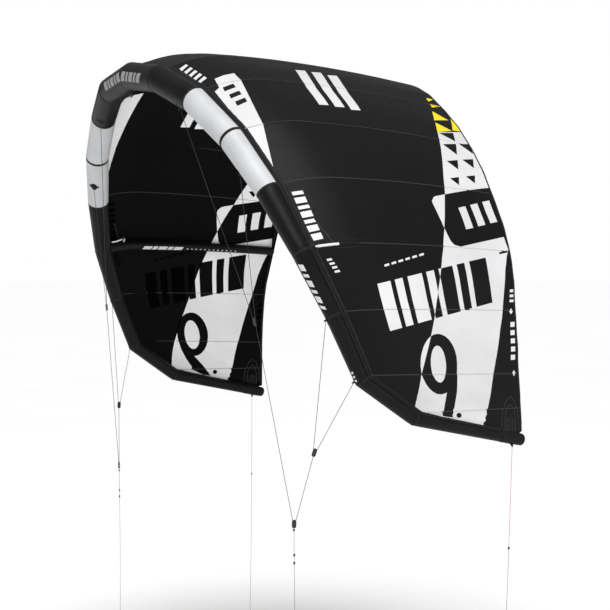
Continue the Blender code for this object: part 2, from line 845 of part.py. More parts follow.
def place(mesh, name, matrix, mat, side, even="x"):
    """A copy of a shared mesh at a place on the right wing, or its mirror. The
    mesh is the same on both sides of its own even axis, so the mirror image is
    reached by turning it."""
    own = mesh.copy()
    own.name = name
    o = add(name, own, mat)
    m = matrix.copy()
    if side < 0:
        rot = m.to_3x3()
        flip = Matrix(((-1, 0, 0), (0, 1, 0), (0, 0, 1)))
        own_flip = flip if even == "x" else Matrix(((1, 0, 0), (0, 1, 0), (0, 0, -1)))
        rot = flip @ rot @ own_flip
        where = m.translation.copy()
        where.x = -where.x
        m = rot.to_4x4()
        m.translation = where
    o.matrix_world = m
    return o


def hanging(start, end, n):
    """Slightly bowed line between two points."""
    points = []
    for i in range(n + 1):
        f = i / n
        p = lerp(start, end, f)
        p.y += 0.004 * math.sin(math.pi * f)
        points.append(p)
    return points


for side, wing in ((1, "right"), (-1, "left")):
    for key, pulley in (("a", pulley_a), ("b", pulley_b), ("c", pulley_c)):
        place(frame_mesh, f"pulley_{key}_{wing}", pulley.matrix(), plastic, side)
        place(wheel_mesh, f"sheave_{key}_{wing}", pulley.matrix(), steel, side)
    rope(f"bridle_a_{wing}", rope_mat, pulley_a.route(), ROPE_R, side)
    rope(f"bridle_b_{wing}", rope_mat, pulley_b.route(), ROPE_R, side)
    rope(f"bridle_c_{wing}", rope_mat, pulley_c.route(), ROPE_R, side)
    rope(f"front_line_{wing}", line_mat, hanging(FRONT_START, Vector(FRONT_END), 12), LINE_R, side)
    rope(f"rear_line_{wing}", line_mat, hanging(Vector(REAR_START), Vector(REAR_END), 14), LINE_R, side)

# Valves on the underside of the tube, each with a hinged cap.
body_mesh, cap_mesh = valve_body_mesh(), valve_cap_mesh()
for side, use in ((1, "inflate"), (-1, "dump")):
    seat = valve_matrix(side)
    body = add(f"{use}_valve", body_mesh.copy(), valve_mat)
    body.matrix_world = seat
    hinge = Vector((0, VALVE_HINGE_OUT, VALVE_FLANGE_T + VALVE_BOSS_H + 0.0006 + VALVE_CAP_T / 2))
    cap = add(f"{use}_valve_cap", cap_mesh.copy(), valve_mat)
    m = seat.copy()
    m.translation = seat @ hinge
    cap.matrix_world = m

# Hoses that carry air from the leading edge into each strut, and their clips.
for wing, u, side in (("centre", 0, 1), ("right", STRUT_STATION, 1), ("left", STRUT_STATION, -1)):
    points = hose_points(u, side)
    rope(f"air_hose_{wing}", hose_mat, points, HOSE_R, side, 2)
    m, axis, pivot = clip_data(points)
    lever = solid_from(
        lambda bm: box_on(bm, (0.0, -CLIP_T / 2, -CLIP_W / 2), (CLIP_LEN, CLIP_T / 2, CLIP_W / 2)), f"lever_{wing}"
    )
    mesh = lever.data
    bpy.data.objects.remove(lever, do_unlink=True)
    place(mesh, f"hose_clip_{wing}", m, clip_mat, side, "z")

for spare in (frame_mesh, wheel_mesh, body_mesh, cap_mesh):
    if spare.users == 0:
        bpy.data.meshes.remove(spare)
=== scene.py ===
import math

import bmesh
import bpy
import numpy as np
from mathutils import Matrix, Vector, geometry, noise


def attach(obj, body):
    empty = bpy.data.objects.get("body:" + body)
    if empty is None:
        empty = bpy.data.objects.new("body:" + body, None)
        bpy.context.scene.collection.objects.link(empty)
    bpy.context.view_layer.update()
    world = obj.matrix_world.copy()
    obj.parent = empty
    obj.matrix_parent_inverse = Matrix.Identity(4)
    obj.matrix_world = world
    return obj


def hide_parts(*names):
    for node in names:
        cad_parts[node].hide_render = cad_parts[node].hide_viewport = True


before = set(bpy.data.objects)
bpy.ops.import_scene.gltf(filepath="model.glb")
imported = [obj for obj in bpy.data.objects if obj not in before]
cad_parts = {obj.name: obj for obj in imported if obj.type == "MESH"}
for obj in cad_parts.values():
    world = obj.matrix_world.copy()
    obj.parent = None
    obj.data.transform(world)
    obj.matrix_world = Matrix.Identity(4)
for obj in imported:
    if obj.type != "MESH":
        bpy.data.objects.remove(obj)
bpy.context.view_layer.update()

COLLECTION = bpy.context.scene.collection


def lerp(a, b, f):
    return a + (b - a) * f


# ------------------------------------------------------------------- the camera
forward = Vector((-0.8951, 0.4443, -0.0363)).normalized()
right = Vector((0.4446, 0.8957, -0.001))
right = (right - forward * right.dot(forward)).normalized()
back = -forward
above = back.cross(right).normalized()
view = Matrix((right, above, back)).transposed().to_4x4()
view.translation = Vector((9.958, -3.754, -1.037))
camera_data = bpy.data.cameras.new("camera")
camera_data.lens = 100.33
camera_data.sensor_width = 36.0
camera_data.clip_start = 0.05
camera_data.clip_end = 400.0
camera = bpy.data.objects.new("camera", camera_data)
camera.matrix_world = view
COLLECTION.objects.link(camera)
bpy.context.scene.camera = camera

# ------------------------------------------------------- the four free line ends
ROPE_R = 0.0016
LINE_R = 0.00125
FRONT_START = Vector((1.416002, 0.415149, -2.641666))
FRONT_END = Vector((1.417, 0.416, -3.900))
REAR_START = Vector((1.790, 1.625, -2.199))
REAR_END = Vector((1.745, 1.585, -3.900))
KNOT_Z = -2.790  # where each line end changes from its red lead to grey
LOOP_LENGTH = 0.052


def hanging(start, end, n):
    """Slightly bowed line between two points."""
    points = []
    for i in range(n + 1):
        f = i / n
        p = lerp(start, end, f)
        p.y += 0.004 * math.sin(math.pi * f)
        points.append(p)
    return points


def curve_piece(name, points, radius, side=1, cyclic=False, around=10):
    """Round cord as a mesh tube along points; its cloth map is (length, turn)."""
    pts = [Vector((p.x * side, p.y, p.z)) for p in points]
    n = len(pts)
    tangents = []
    for i in range(n):
        if cyclic:
            d = pts[(i + 1) % n] - pts[i - 1]
        else:
            d = pts[min(i + 1, n - 1)] - pts[max(i - 1, 0)]
        tangents.append(d.normalized())
    x = tangents[0].orthogonal().normalized()
    frames = []
    for i, t in enumerate(tangents):
        if i:
            x = tangents[i - 1].rotation_difference(t) @ x
            x = (x - t * x.dot(t)).normalized()
        frames.append((x.copy(), t.cross(x).normalized()))
    twist = 0.0
    if cyclic:
        back = tangents[-1].rotation_difference(tangents[0]) @ frames[-1][0]
        twist = math.atan2(back.dot(frames[0][1]), back.dot(frames[0][0]))
    verts, faces, uvs, along = [], [], [], [0.0]
    for p, q in zip(pts, pts[1:] + pts[:1]):
        along.append(along[-1] + (q - p).length)
    for i, (p, (fx, fy)) in enumerate(zip(pts, frames)):
        for j in range(around):
            w = 2 * math.pi * j / around - twist * i / n
            verts.append(p + (fx * math.cos(w) + fy * math.sin(w)) * radius)
    for i in range(n if cyclic else n - 1):
        k = (i + 1) % n
        for j in range(around):
            m = (j + 1) % around
            faces.append((i * around + j, i * around + m, k * around + m, k * around + j))
            u0, u1, v0, v1 = along[i], along[i + 1], j / around, (j + 1) / around
            uvs += [(u0, v0), (u0, v1), (u1, v1), (u1, v0)]
    if not cyclic:
        faces.append(tuple(range(around))[::-1])
        uvs += [(0.0, j / around) for j in range(around)]
        faces.append(tuple((n - 1) * around + j for j in range(around)))
        uvs += [(along[-2], j / around) for j in range(around)]
    mesh = bpy.data.meshes.new(name)
    mesh.from_pydata([tuple(v) for v in verts], [], faces)
    layer = mesh.uv_layers.new(name="cloth")
    layer.data.foreach_set("uv", [c for pair in uvs for c in pair])
    mesh.shade_smooth()
    mesh.set_sharp_from_angle(angle=math.radians(60))
    bm = bmesh.new()
    bm.from_mesh(mesh)
    if bm.calc_volume(signed=True) < 0:
        bmesh.ops.reverse_faces(bm, faces=bm.faces[:])
        bm.to_mesh(mesh)
    bm.free()
    o = bpy.data.objects.new(name, mesh)
    COLLECTION.objects.link(o)
    return o


def knot(name, where, side, along=Vector((0, 0, 1)), size=0.0026, radius=0.0019):
    """Tight overhand knot: a three-lobed closed run of cord."""
    along = along.normalized()
    x = along.orthogonal().normalized()
    y = along.cross(x)
    points = []
    for i in range(36):
        t = 2 * math.pi * i / 36
        a = math.sin(t) + 2 * math.sin(2 * t)
        b = math.cos(t) - 2 * math.cos(2 * t)
        c = -math.sin(3 * t)
        points.append(where + (x * (a * 0.72) + along * (b * 0.95) + y * (c * 0.9)) * size)
    return curve_piece(name, points, radius, side, True, 8)


def end_loop(name, top, side):
    """Spliced eye at the bottom of a line, through which the flying line is hitched."""
    points = []
    for i in range(40):
        t = 2 * math.pi * i / 40
        w = 0.0052 * math.sin(t) * (1 - 0.35 * math.cos(t))
        points.append(top + Vector((w * 0.5, w, -LOOP_LENGTH / 2 + LOOP_LENGTH / 2 * math.cos(t))))
    return curve_piece(name, points, LINE_R, side, True, 10)


LINE_PIECES, KNOT_PIECES = [], []
for side, wing in ((1, "right"), (-1, "left")):
    for which, start, end in (("front", FRONT_START, FRONT_END), ("rear", REAR_START, REAR_END)):
        body = f"{which}_line_{wing}"
        route = [p for p in hanging(start, end, 30) if p.z > end.z + LOOP_LENGTH + 0.002]
        bottom = Vector((end.x, end.y, end.z + LOOP_LENGTH + 0.0015))
        route.append(bottom)
        line = curve_piece(f"{body}_cord", route, LINE_R, side)
        middle = min(route, key=lambda p: abs(p.z - KNOT_Z))
        f = (KNOT_Z - start.z) / (end.z - start.z)
        at = lerp(start, end, f) + Vector((0, 0.004 * math.sin(math.pi * f), 0))
        extra = [
            knot(f"{body}_join_knot", at, side),
            knot(f"{body}_end_knot", bottom, side),
            end_loop(f"{body}_eye", bottom, side),
        ]
        if which == "front":
            extra.append(knot(f"{body}_upper_knot", start + Vector((0, 0, -0.006)), side))
            extra.append(knot(f"{body}_lower_join_knot", at + Vector((0, 0, -0.045)), side))
        for o in [line] + extra:
            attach(o, body)
        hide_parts(body)
        LINE_PIECES.append(line)
        LINE_PIECES.append(extra[2])
        KNOT_PIECES += [o for o in extra if o is not extra[2]]


# --------------------------------------------- the shape shared with the frame
SEAM_GAP = 0.0004  # half the slit between neighbouring sewn panels

# Seam stations of the right wing, centre to tip: leading-edge axis point,
# tube radius, trailing-edge point.
STATIONS = [
    ((0.000, 0.000, 0.000), 0.0850, (0.000, 1.755, 0.020)),
    ((0.419, 0.010, -0.054), 0.0830, (0.444, 1.752, -0.028)),
    ((0.780, 0.085, -0.204), 0.0800, (0.804, 1.747, -0.192)),
    ((1.136, 0.165, -0.446), 0.0765, (1.160, 1.733, -0.450)),
    ((1.405, 0.265, -0.749), 0.0700, (1.429, 1.718, -0.747)),
    ((1.610, 0.372, -1.088), 0.0575, (1.615, 1.722, -1.088)),
    ((1.719, 0.510, -1.430), 0.0475, (1.708, 1.700, -1.427)),
    ((1.758, 0.666, -1.788), 0.0430, (1.751, 1.695, -1.789)),
    ((1.779, 0.985, -2.012), 0.0410, (1.765, 1.699, -1.985)),
    ((1.772, 1.693, -2.167), 0.0340, (1.773, 1.703, -2.125)),
]
STRUT_STATION = 5  # the outer struts sit on this seam
TIP = 9
CAP_U = 8.80  # the tip cap covers the tube from here to its end
CANOPY_T = 0.0020
CANOPY_ATTACH_DEG = 34.0  # round the tube from its outer side towards the skin
CANOPY_STANDOFF = 0.0018
CAMBER_PEAK = 0.23  # chord fraction of the greatest camber
CAMBER = [0.056, 0.056, 0.057, 0.058, 0.058, 0.057, 0.054, 0.048, 0.022, 0.004]
STRUT_R_FRONT = 0.036
STRUT_R_REAR = 0.0275
STRUT_CLEAR = 0.0020
STRUT_FROM = 0.045
STRUT_TO = 0.992
# Rope geometry of the right wing.
LOOP_A = (1.80, 3.50)  # seam positions where loop A leaves the tube
LOOP_B = (6.02, 6.98)
SHEAVE_A = (1.230, 0.260, -1.472)
SHEAVE_B = (1.565, 0.472, -2.190)
SHEAVE_C = (1.419, 0.415, -2.605)
VALVE_X = 0.60  # seam position of each valve, either side of the centre
VALVE_DEG = 128.0  # round the tube, from its top towards aft
CLIP_LEN, CLIP_W, CLIP_T = 0.032, 0.010, 0.004
HOSE_R = 0.0055
ROPE_PATH_R = 0.0082
CHEEK_DOWN = 0.033

AXIS = [Vector(s[0]) for s in STATIONS]
RADIUS = [s[1] for s in STATIONS]
TRAIL = [Vector(s[2]) for s in STATIONS]
SEG_DIR = [(AXIS[k + 1] - AXIS[k]).normalized() for k in range(TIP)]


def segment_frames():
    """Directions outward and aft of each segment, carried along the bend."""
    frames = []
    n, e = Vector((0, 0, 1)), Vector((0, 1, 0))
    previous = Vector((1, 0, 0))
    for d in SEG_DIR:
        turn = previous.rotation_difference(d)
        n, e = turn @ n, turn @ e
        frames.append((n.copy(), e.copy()))
        previous = d
    return frames


FRAMES = segment_frames()


def mitre_normal(k):
    if k == 0:
        return Vector((1, 0, 0))
    if k == TIP:
        return SEG_DIR[TIP - 1].copy()
    return (SEG_DIR[k - 1] + SEG_DIR[k]).normalized()


def tube_point(k, angle, radius):
    """Point of the mitred section at station k, at radius from the axis."""
    seg = min(k, TIP - 1)
    n, e = FRAMES[seg]
    d = (math.cos(angle) * n + math.sin(angle) * e) * radius
    t, m = SEG_DIR[seg], mitre_normal(k)
    return AXIS[k] + d - t * (d.dot(m) / t.dot(m))


def tube_at(u, angle, extra):
    """Point at seam position u, extra outside the tube's radius there."""
    k = min(int(u), TIP - 1)
    f = u - k
    a = tube_point(k, angle, RADIUS[k] + extra)
    if f < 1e-9:
        return a
    return lerp(a, tube_point(k + 1, angle, RADIUS[k + 1] + extra), f)


def axis_at(u):
    k = min(int(u), TIP - 1)
    return lerp(AXIS[k], AXIS[k + 1], u - k)


def radius_at(u):
    k = min(int(u), TIP - 1)
    return lerp(RADIUS[k], RADIUS[k + 1], u - k)


def mirrored(points):
    return [Vector((-p.x, p.y, p.z)) for p in points]



def catmull(values, u):
    k = min(int(u), TIP - 1)
    f = u - k
    p1, p2 = values[k], values[k + 1]
    if k > 0:
        p0 = values[k - 1]
    elif isinstance(p1, Vector):
        p0 = Vector((-p2.x, p2.y, p2.z))
    else:
        p0 = p2
    p3 = values[k + 2] if k + 2 <= TIP else p2 + (p2 - p1)
    return 0.5 * (
        2 * p1 + (p2 - p0) * f
        + (2 * p0 - 5 * p1 + 4 * p2 - p3) * f * f
        + (3 * p1 - p0 - 3 * p2 + p3) * f * f * f
    )


def trail_at(u):
    return catmull(TRAIL, u)


def camber_shape(s):
    p = CAMBER_PEAK
    if s < p:
        return (2 * p * s - s * s) / (p * p)
    return ((1 - 2 * p) + 2 * p * s - s * s) / ((1 - p) ** 2)


ATTACH = math.radians(CANOPY_ATTACH_DEG)


def outward_at(u):
    """Unit vector out of the arch at seam position u."""
    h = 0.12
    lo, hi = max(0.0, u - h), min(float(TIP), u + h)
    mid = [lerp(axis_at(x), trail_at(x), 0.45) for x in (lo, hi)]
    along = (mid[1] - mid[0]).normalized()
    if u < h:
        along = Vector((1, 0, 0))
    chord = (trail_at(u) - axis_at(u)).normalized()
    return along.cross(chord).normalized()


def skin_at(u, s):
    """Middle of the cloth on the right wing: s runs from tube to trailing edge."""
    start = tube_at(u, ATTACH, CANOPY_STANDOFF)
    end = trail_at(u)
    chord = (end - start).length
    if u > 7.0:
        out = outward_at(7.0).lerp(Vector((1, 0, 0)), min(1.0, u - 7.0)).normalized()
    else:
        out = outward_at(u)
    return lerp(start, end, s) + out * (catmull(CAMBER, u) * camber_shape(s) * chord)


def skin_normal(u, s):
    h = 0.02
    us = (max(0.0, u - h), min(float(TIP), u + h))
    a = skin_at(us[1], s) - skin_at(us[0], s)
    if u < 1e-6:
        a = Vector((1, 0, 0))
    b = skin_at(u, min(1.0, s + 0.01)) - skin_at(u, max(0.0, s - 0.01))
    return a.cross(b).normalized()



def strut_frame(u, s):
    """Axis point, direction, up and side of a strut at chord position s."""
    h = 0.012
    r = lerp(STRUT_R_FRONT, STRUT_R_REAR, s)

    def centre(x):
        rr = lerp(STRUT_R_FRONT, STRUT_R_REAR, x)
        return skin_at(u, x) - skin_normal(u, x) * (CANOPY_T / 2 + STRUT_CLEAR + rr)

    c = centre(s)
    t = (centre(s + h) - centre(s - h)).normalized()
    up = skin_normal(u, s)
    side = t.cross(up).normalized()
    up = side.cross(t).normalized()
    return c, t, up, side, r



def rope_anchor(u, towards):
    """Where a rope meets the tube, on the side that faces its sheave."""
    k = min(int(u), TIP - 1)
    c = axis_at(u)
    d = Vector(towards) - c
    d -= SEG_DIR[k] * d.dot(SEG_DIR[k])
    d = (d.normalized() + Vector((0, -0.55, 0))).normalized()
    t = mitre_normal(k) if abs(u - k) < 0.05 else SEG_DIR[k]
    d = (d - t * d.dot(t)).normalized()
    return c + d * (radius_at(u) * 1.02 + 0.0025)


def straight(a, b, n):
    return [lerp(a, b, i / n) for i in range(n)]


class Pulley:
    """A sheave between two cheeks, hung in the bight of a rope."""

    def __init__(self, centre, end1, end2):
        self.centre = Vector(centre)
        self.end1, self.end2 = Vector(end1), Vector(end2)
        l1 = (self.end1 - self.centre).normalized()
        l2 = (self.end2 - self.centre).normalized()
        self.up = (l1 + l2).normalized()
        self.normal = l1.cross(l2).normalized()
        self.across = self.up.cross(self.normal).normalized()
        if l1.dot(self.across) > 0:
            self.across = -self.across
        self.across = self.across.normalized()
        self.becket = self.centre - self.up * (CHEEK_DOWN + 0.0008)

    def matrix(self):
        z = self.up
        y = self.normal
        x = y.cross(z)
        m = Matrix((x, y, z)).transposed().to_4x4()
        m.translation = self.centre
        return m

    def route(self):
        """Down one leg, round the sheave, and up the other leg."""
        def flat(p):
            d = p - self.centre
            return d.dot(self.across), d.dot(self.up)

        def tangent(p, sign):
            x, y = flat(p)
            base, dist = math.atan2(y, x), math.hypot(x, y)
            spread = math.acos(ROPE_PATH_R / dist)
            options = [base + spread, base - spread]
            return max(options, key=lambda a: sign * math.cos(a))

        sign1 = 1 if flat(self.end1)[0] > flat(self.end2)[0] else -1
        a1, a2 = tangent(self.end1, sign1), tangent(self.end2, -sign1)
        low = -math.pi / 2
        while a1 - low > math.pi:
            a1 -= 2 * math.pi
        while a1 - low < -math.pi:
            a1 += 2 * math.pi
        while a2 - low > math.pi:
            a2 -= 2 * math.pi
        while a2 - low < -math.pi:
            a2 += 2 * math.pi
        steps = 8
        arc = []
        for i in range(steps + 1):
            a = lerp(a1, a2, i / steps)
            arc.append(self.centre + ROPE_PATH_R * (math.cos(a) * self.across + math.sin(a) * self.up))
        return straight(self.end1, arc[0], 3) + arc + [lerp(arc[-1], self.end2, (i + 1) / 3) for i in range(3)]


def hose_points(u_strut, side_in):
    """Hose from the tube to the strut, on the inboard side of the strut."""
    if u_strut == 0:
        u_start, s_end = 0.19, 0.068
    else:
        u_start, s_end = u_strut - 0.17, 0.078
    a = math.radians(100.0)
    c0 = axis_at(u_start)
    d0 = tube_at(u_start, a, 0.0) - c0
    t0 = SEG_DIR[min(int(u_start), TIP - 1)]
    d0 = (d0 - t0 * d0.dot(t0)).normalized()
    p0 = c0 + d0 * (radius_at(u_start) + 0.0022)
    c1, t1, up1, side1, r1 = strut_frame(u_strut, s_end)
    inboard = side1 if side1.dot(c0 - c1) > 0 else -side1
    d1 = (inboard * 0.92 - up1 * 0.40).normalized()
    p1 = c1 + d1 * (r1 + 0.0024)
    reach = (p1 - p0).length * 0.55
    b0, b1 = p0 + d0 * reach, p1 + d1 * reach
    points = []
    n = 10
    for i in range(n + 1):
        f = i / n
        points.append(
            p0 * (1 - f) ** 3 + b0 * (3 * f * (1 - f) ** 2) + b1 * (3 * f * f * (1 - f)) + p1 * f ** 3
        )
    return points



# Outlines of the printed areas, as (seam position, chord fraction).
NINE_BOWL = [
    [(6.806, 0.565), (6.919, 0.557), (7.041, 0.538), (7.182, 0.504), (7.310, 0.464), (7.413, 0.420), (7.482, 0.376), (7.510, 0.338), (7.496, 0.309), (7.441, 0.292), (7.350, 0.285), (7.230, 0.290), (7.090, 0.303), (6.957, 0.315), (6.848, 0.321), (6.740, 0.333), (6.639, 0.350), (6.548, 0.370), (6.472, 0.394), (6.415, 0.419), (6.377, 0.445), (6.361, 0.471), (6.368, 0.496), (6.398, 0.519), (6.448, 0.538), (6.516, 0.553), (6.601, 0.563), (6.698, 0.568)],
]
NINE_EYE = [
    [(6.814, 0.490), (6.909, 0.483), (7.000, 0.471), (7.099, 0.446), (7.168, 0.421), (7.197, 0.400), (7.180, 0.386), (7.120, 0.381), (7.026, 0.384), (6.934, 0.385), (6.840, 0.388), (6.748, 0.396), (6.665, 0.408), (6.599, 0.422), (6.555, 0.438), (6.538, 0.453), (6.547, 0.468), (6.584, 0.480), (6.644, 0.488), (6.723, 0.491)],
]
NINE_TAIL = [
    [(6.877, 0.559), (6.914, 0.557), (6.952, 0.554), (6.991, 0.552), (7.038, 0.547), (7.089, 0.540), (7.156, 0.529), (7.226, 0.517), (7.299, 0.504), (7.374, 0.490), (7.452, 0.475), (7.596, 0.441), (7.743, 0.403), (7.889, 0.361), (8.040, 0.294), (8.228, 0.117), (8.215, 0.107), (8.202, 0.098), (8.189, 0.089), (8.176, 0.081), (8.164, 0.072), (7.983, 0.232), (7.845, 0.282), (7.703, 0.327), (7.562, 0.367), (7.422, 0.402), (7.384, 0.410), (7.346, 0.419), (7.309, 0.426), (7.272, 0.434), (7.236, 0.441), (7.175, 0.453), (7.116, 0.464), (7.059, 0.474), (7.004, 0.484), (6.961, 0.489), (6.944, 0.503), (6.927, 0.517), (6.910, 0.531), (6.893, 0.545)],
]
NINE_DOT = [
    [(8.163, 0.281), (8.211, 0.233), (8.245, 0.186), (8.256, 0.158), (8.240, 0.158), (8.203, 0.186), (8.153, 0.229), (8.106, 0.274), (8.072, 0.310), (8.062, 0.331), (8.077, 0.334), (8.114, 0.317)],
]
SIDE_BARS = [
    [(5.618, 0.214), (5.594, 0.250), (5.569, 0.286), (5.928, 0.277), (6.269, 0.273), (6.294, 0.235), (6.318, 0.198), (5.973, 0.203)],
    [(5.552, 0.311), (5.536, 0.333), (5.520, 0.355), (5.884, 0.348), (6.222, 0.345), (6.237, 0.322), (6.252, 0.299), (5.912, 0.303)],
    [(5.500, 0.384), (5.470, 0.425), (5.439, 0.466), (5.805, 0.462), (6.146, 0.460), (6.174, 0.417), (6.202, 0.374), (5.864, 0.377)],
    [(5.420, 0.492), (5.403, 0.514), (5.386, 0.537), (5.753, 0.533), (6.099, 0.532), (6.114, 0.509), (6.129, 0.486), (5.786, 0.488)],
    [(5.364, 0.565), (5.332, 0.606), (5.300, 0.646), (5.670, 0.645), (6.026, 0.646), (6.054, 0.604), (6.080, 0.562), (5.731, 0.563)],
    [(5.279, 0.672), (5.260, 0.695), (5.242, 0.718), (5.613, 0.717), (5.976, 0.720), (5.992, 0.696), (6.008, 0.672), (5.649, 0.671)],
    [(5.217, 0.747), (5.175, 0.797), (5.132, 0.847), (5.508, 0.847), (5.881, 0.853), (5.919, 0.801), (5.955, 0.750), (5.590, 0.747)],
]
SIDE_DASHES = [
    [(5.319, 0.285), (5.295, 0.311), (5.330, 0.309), (5.353, 0.283)],
    [(5.284, 0.325), (5.260, 0.351), (5.294, 0.349), (5.318, 0.323)],
    [(5.248, 0.364), (5.224, 0.391), (5.259, 0.389), (5.282, 0.362)],
    [(5.212, 0.404), (5.188, 0.430), (5.222, 0.428), (5.246, 0.402)],
    [(5.175, 0.444), (5.150, 0.470), (5.185, 0.469), (5.210, 0.442)],
    [(5.138, 0.484), (5.113, 0.511), (5.147, 0.509), (5.173, 0.482)],
    [(5.201, 0.036), (5.194, 0.057), (5.225, 0.058), (5.234, 0.036)],
    [(5.263, 0.039), (5.255, 0.061), (5.286, 0.061), (5.295, 0.040)],
    [(5.324, 0.043), (5.316, 0.064), (5.347, 0.065), (5.357, 0.043)],
    [(5.386, 0.046), (5.377, 0.068), (5.408, 0.069), (5.418, 0.046)],
]
TOP_BARS = [
    [(1.465, 0.429), (1.450, 0.451), (1.432, 0.473), (2.116, 0.425), (2.565, 0.410), (2.572, 0.389), (2.578, 0.368), (2.132, 0.383)],
    [(1.471, 0.494), (1.452, 0.516), (1.430, 0.539), (2.118, 0.493), (2.570, 0.478), (2.579, 0.457), (2.586, 0.435), (2.138, 0.450)],
    [(1.521, 0.554), (1.498, 0.577), (1.473, 0.600), (2.144, 0.558), (2.596, 0.544), (2.606, 0.522), (2.616, 0.500), (2.168, 0.513)],
]
BAND_BARS = [
    [(4.347, 0.777), (4.326, 0.798), (4.305, 0.819), (4.486, 0.819), (4.663, 0.821), (4.682, 0.800), (4.700, 0.779), (4.525, 0.778)],
    [(4.270, 0.849), (4.247, 0.870), (4.225, 0.892), (4.409, 0.892), (4.589, 0.894), (4.609, 0.873), (4.628, 0.852), (4.451, 0.850)],
    [(4.186, 0.923), (4.162, 0.944), (4.138, 0.966), (4.327, 0.967), (4.511, 0.969), (4.532, 0.947), (4.553, 0.926), (4.372, 0.923)],
]
YELLOW_TRIS = [
    [(2.233, 0.921), (2.419, 0.971), (2.521, 0.889)],
    [(2.578, 0.885), (2.706, 0.946), (2.818, 0.863)],
    [(2.349, 0.991), (2.673, 0.993), (2.686, 0.953)],
    [(1.735, 0.959), (1.728, 0.992), (1.877, 0.952)],
    [(1.974, 0.946), (1.970, 0.998), (2.097, 0.939)],
]
BLACK_TRIS = [
    [(2.834, 0.868), (2.753, 0.947), (2.970, 0.929)],
    [(3.098, 0.850), (3.028, 0.924), (3.293, 0.896)],
    [(3.479, 0.821), (3.412, 0.884), (3.622, 0.863)],
    [(3.821, 0.799), (3.769, 0.850), (3.933, 0.832)],
    [(3.015, 0.941), (2.957, 0.998), (3.197, 0.989)],
    [(3.382, 0.911), (3.317, 0.974), (3.534, 0.952)],
    [(3.733, 0.889), (3.681, 0.942), (3.849, 0.924)],
]
LE_WEDGE = [
    [(1.807, 0.066), (1.787, 0.086), (1.759, 0.107), (1.753, 0.127), (1.740, 0.148), (1.879, 0.142), (2.002, 0.137), (2.523, 0.104), (3.010, 0.075), (3.486, 0.037), (3.953, -0.000), (3.485, -0.006), (3.005, -0.012), (2.798, 0.002), (2.588, 0.016), (2.353, 0.020), (2.115, 0.024), (2.092, 0.036), (2.068, 0.047), (1.956, 0.054)],
]
WEDGE_BARS = [
    [(2.083, 0.057), (2.053, 0.101), (2.142, 0.098), (2.177, 0.052)],
    [(2.262, 0.055), (2.229, 0.098), (2.320, 0.095), (2.355, 0.051)],
    [(2.439, 0.053), (2.405, 0.095), (2.495, 0.091), (2.531, 0.049)],
]
WEDGE_BLACK = [
    [(5.965, 0.969), (6.013, 0.981), (6.061, 0.966), (6.014, 0.955)],
    [(6.930, 0.963), (6.989, 0.975), (7.051, 0.960), (6.988, 0.949)],
    [(5.029, 0.932), (4.981, 0.985), (5.014, 0.986), (5.062, 0.933)],
]
WHITE_SIDE = [
    [(4.713, 0.663), (4.781, 0.654), (4.848, 0.645), (4.913, 0.637), (4.976, 0.629), (5.038, 0.622), (5.095, 0.614), (5.154, 0.606), (5.215, 0.598), (5.276, 0.591), (5.338, 0.583), (5.494, 0.564), (5.650, 0.544), (5.804, 0.525), (5.952, 0.504), (6.092, 0.484), (6.147, 0.475), (6.204, 0.465), (6.260, 0.455), (6.316, 0.445), (6.372, 0.435), (6.485, 0.413), (6.599, 0.391), (6.716, 0.368), (6.835, 0.345), (6.958, 0.320), (7.107, 0.283), (7.285, 0.231), (7.472, 0.172), (7.662, 0.105), (7.851, 0.029), (7.874, 0.031), (7.897, 0.032), (7.921, 0.034), (7.944, 0.035), (7.967, 0.036), (8.019, 0.059), (8.087, 0.053), (8.155, 0.046), (8.223, 0.036), (8.291, 0.025), (8.358, 0.022), (8.424, 0.018), (8.491, 0.013), (8.557, 0.007), (8.624, -0.001), (8.404, 0.389), (8.174, 0.575), (7.961, 0.666), (7.770, 0.702), (7.580, 0.733), (7.436, 0.753), (7.302, 0.771), (7.179, 0.787), (7.066, 0.801), (6.967, 0.813), (6.855, 0.825), (6.751, 0.836), (6.653, 0.847), (6.558, 0.857), (6.465, 0.867), (6.382, 0.876), (6.299, 0.884), (6.215, 0.893), (6.131, 0.902), (6.045, 0.910), (5.907, 0.919), (5.764, 0.928), (5.619, 0.935), (5.472, 0.944), (5.324, 0.953), (5.275, 0.957), (5.227, 0.961), (5.178, 0.965), (5.129, 0.970), (5.080, 0.974), (5.057, 0.978), (5.034, 0.981), (5.011, 0.984), (4.988, 0.988), (4.965, 0.991), (4.923, 0.989), (4.882, 0.987), (4.840, 0.985), (4.798, 0.984), (4.756, 0.982), (4.820, 0.915), (4.881, 0.848), (4.936, 0.784), (4.988, 0.721), (4.978, 0.706), (4.968, 0.690), (4.939, 0.682), (4.909, 0.675), (4.812, 0.668)],
]
WHITE_TONGUE = [
    [(4.130, 0.734), (4.158, 0.707), (4.185, 0.680), (4.196, 0.673), (4.208, 0.667), (4.242, 0.659), (4.276, 0.651), (4.308, 0.650), (4.339, 0.650), (4.526, 0.655), (4.711, 0.662), (4.426, 0.697)],
]
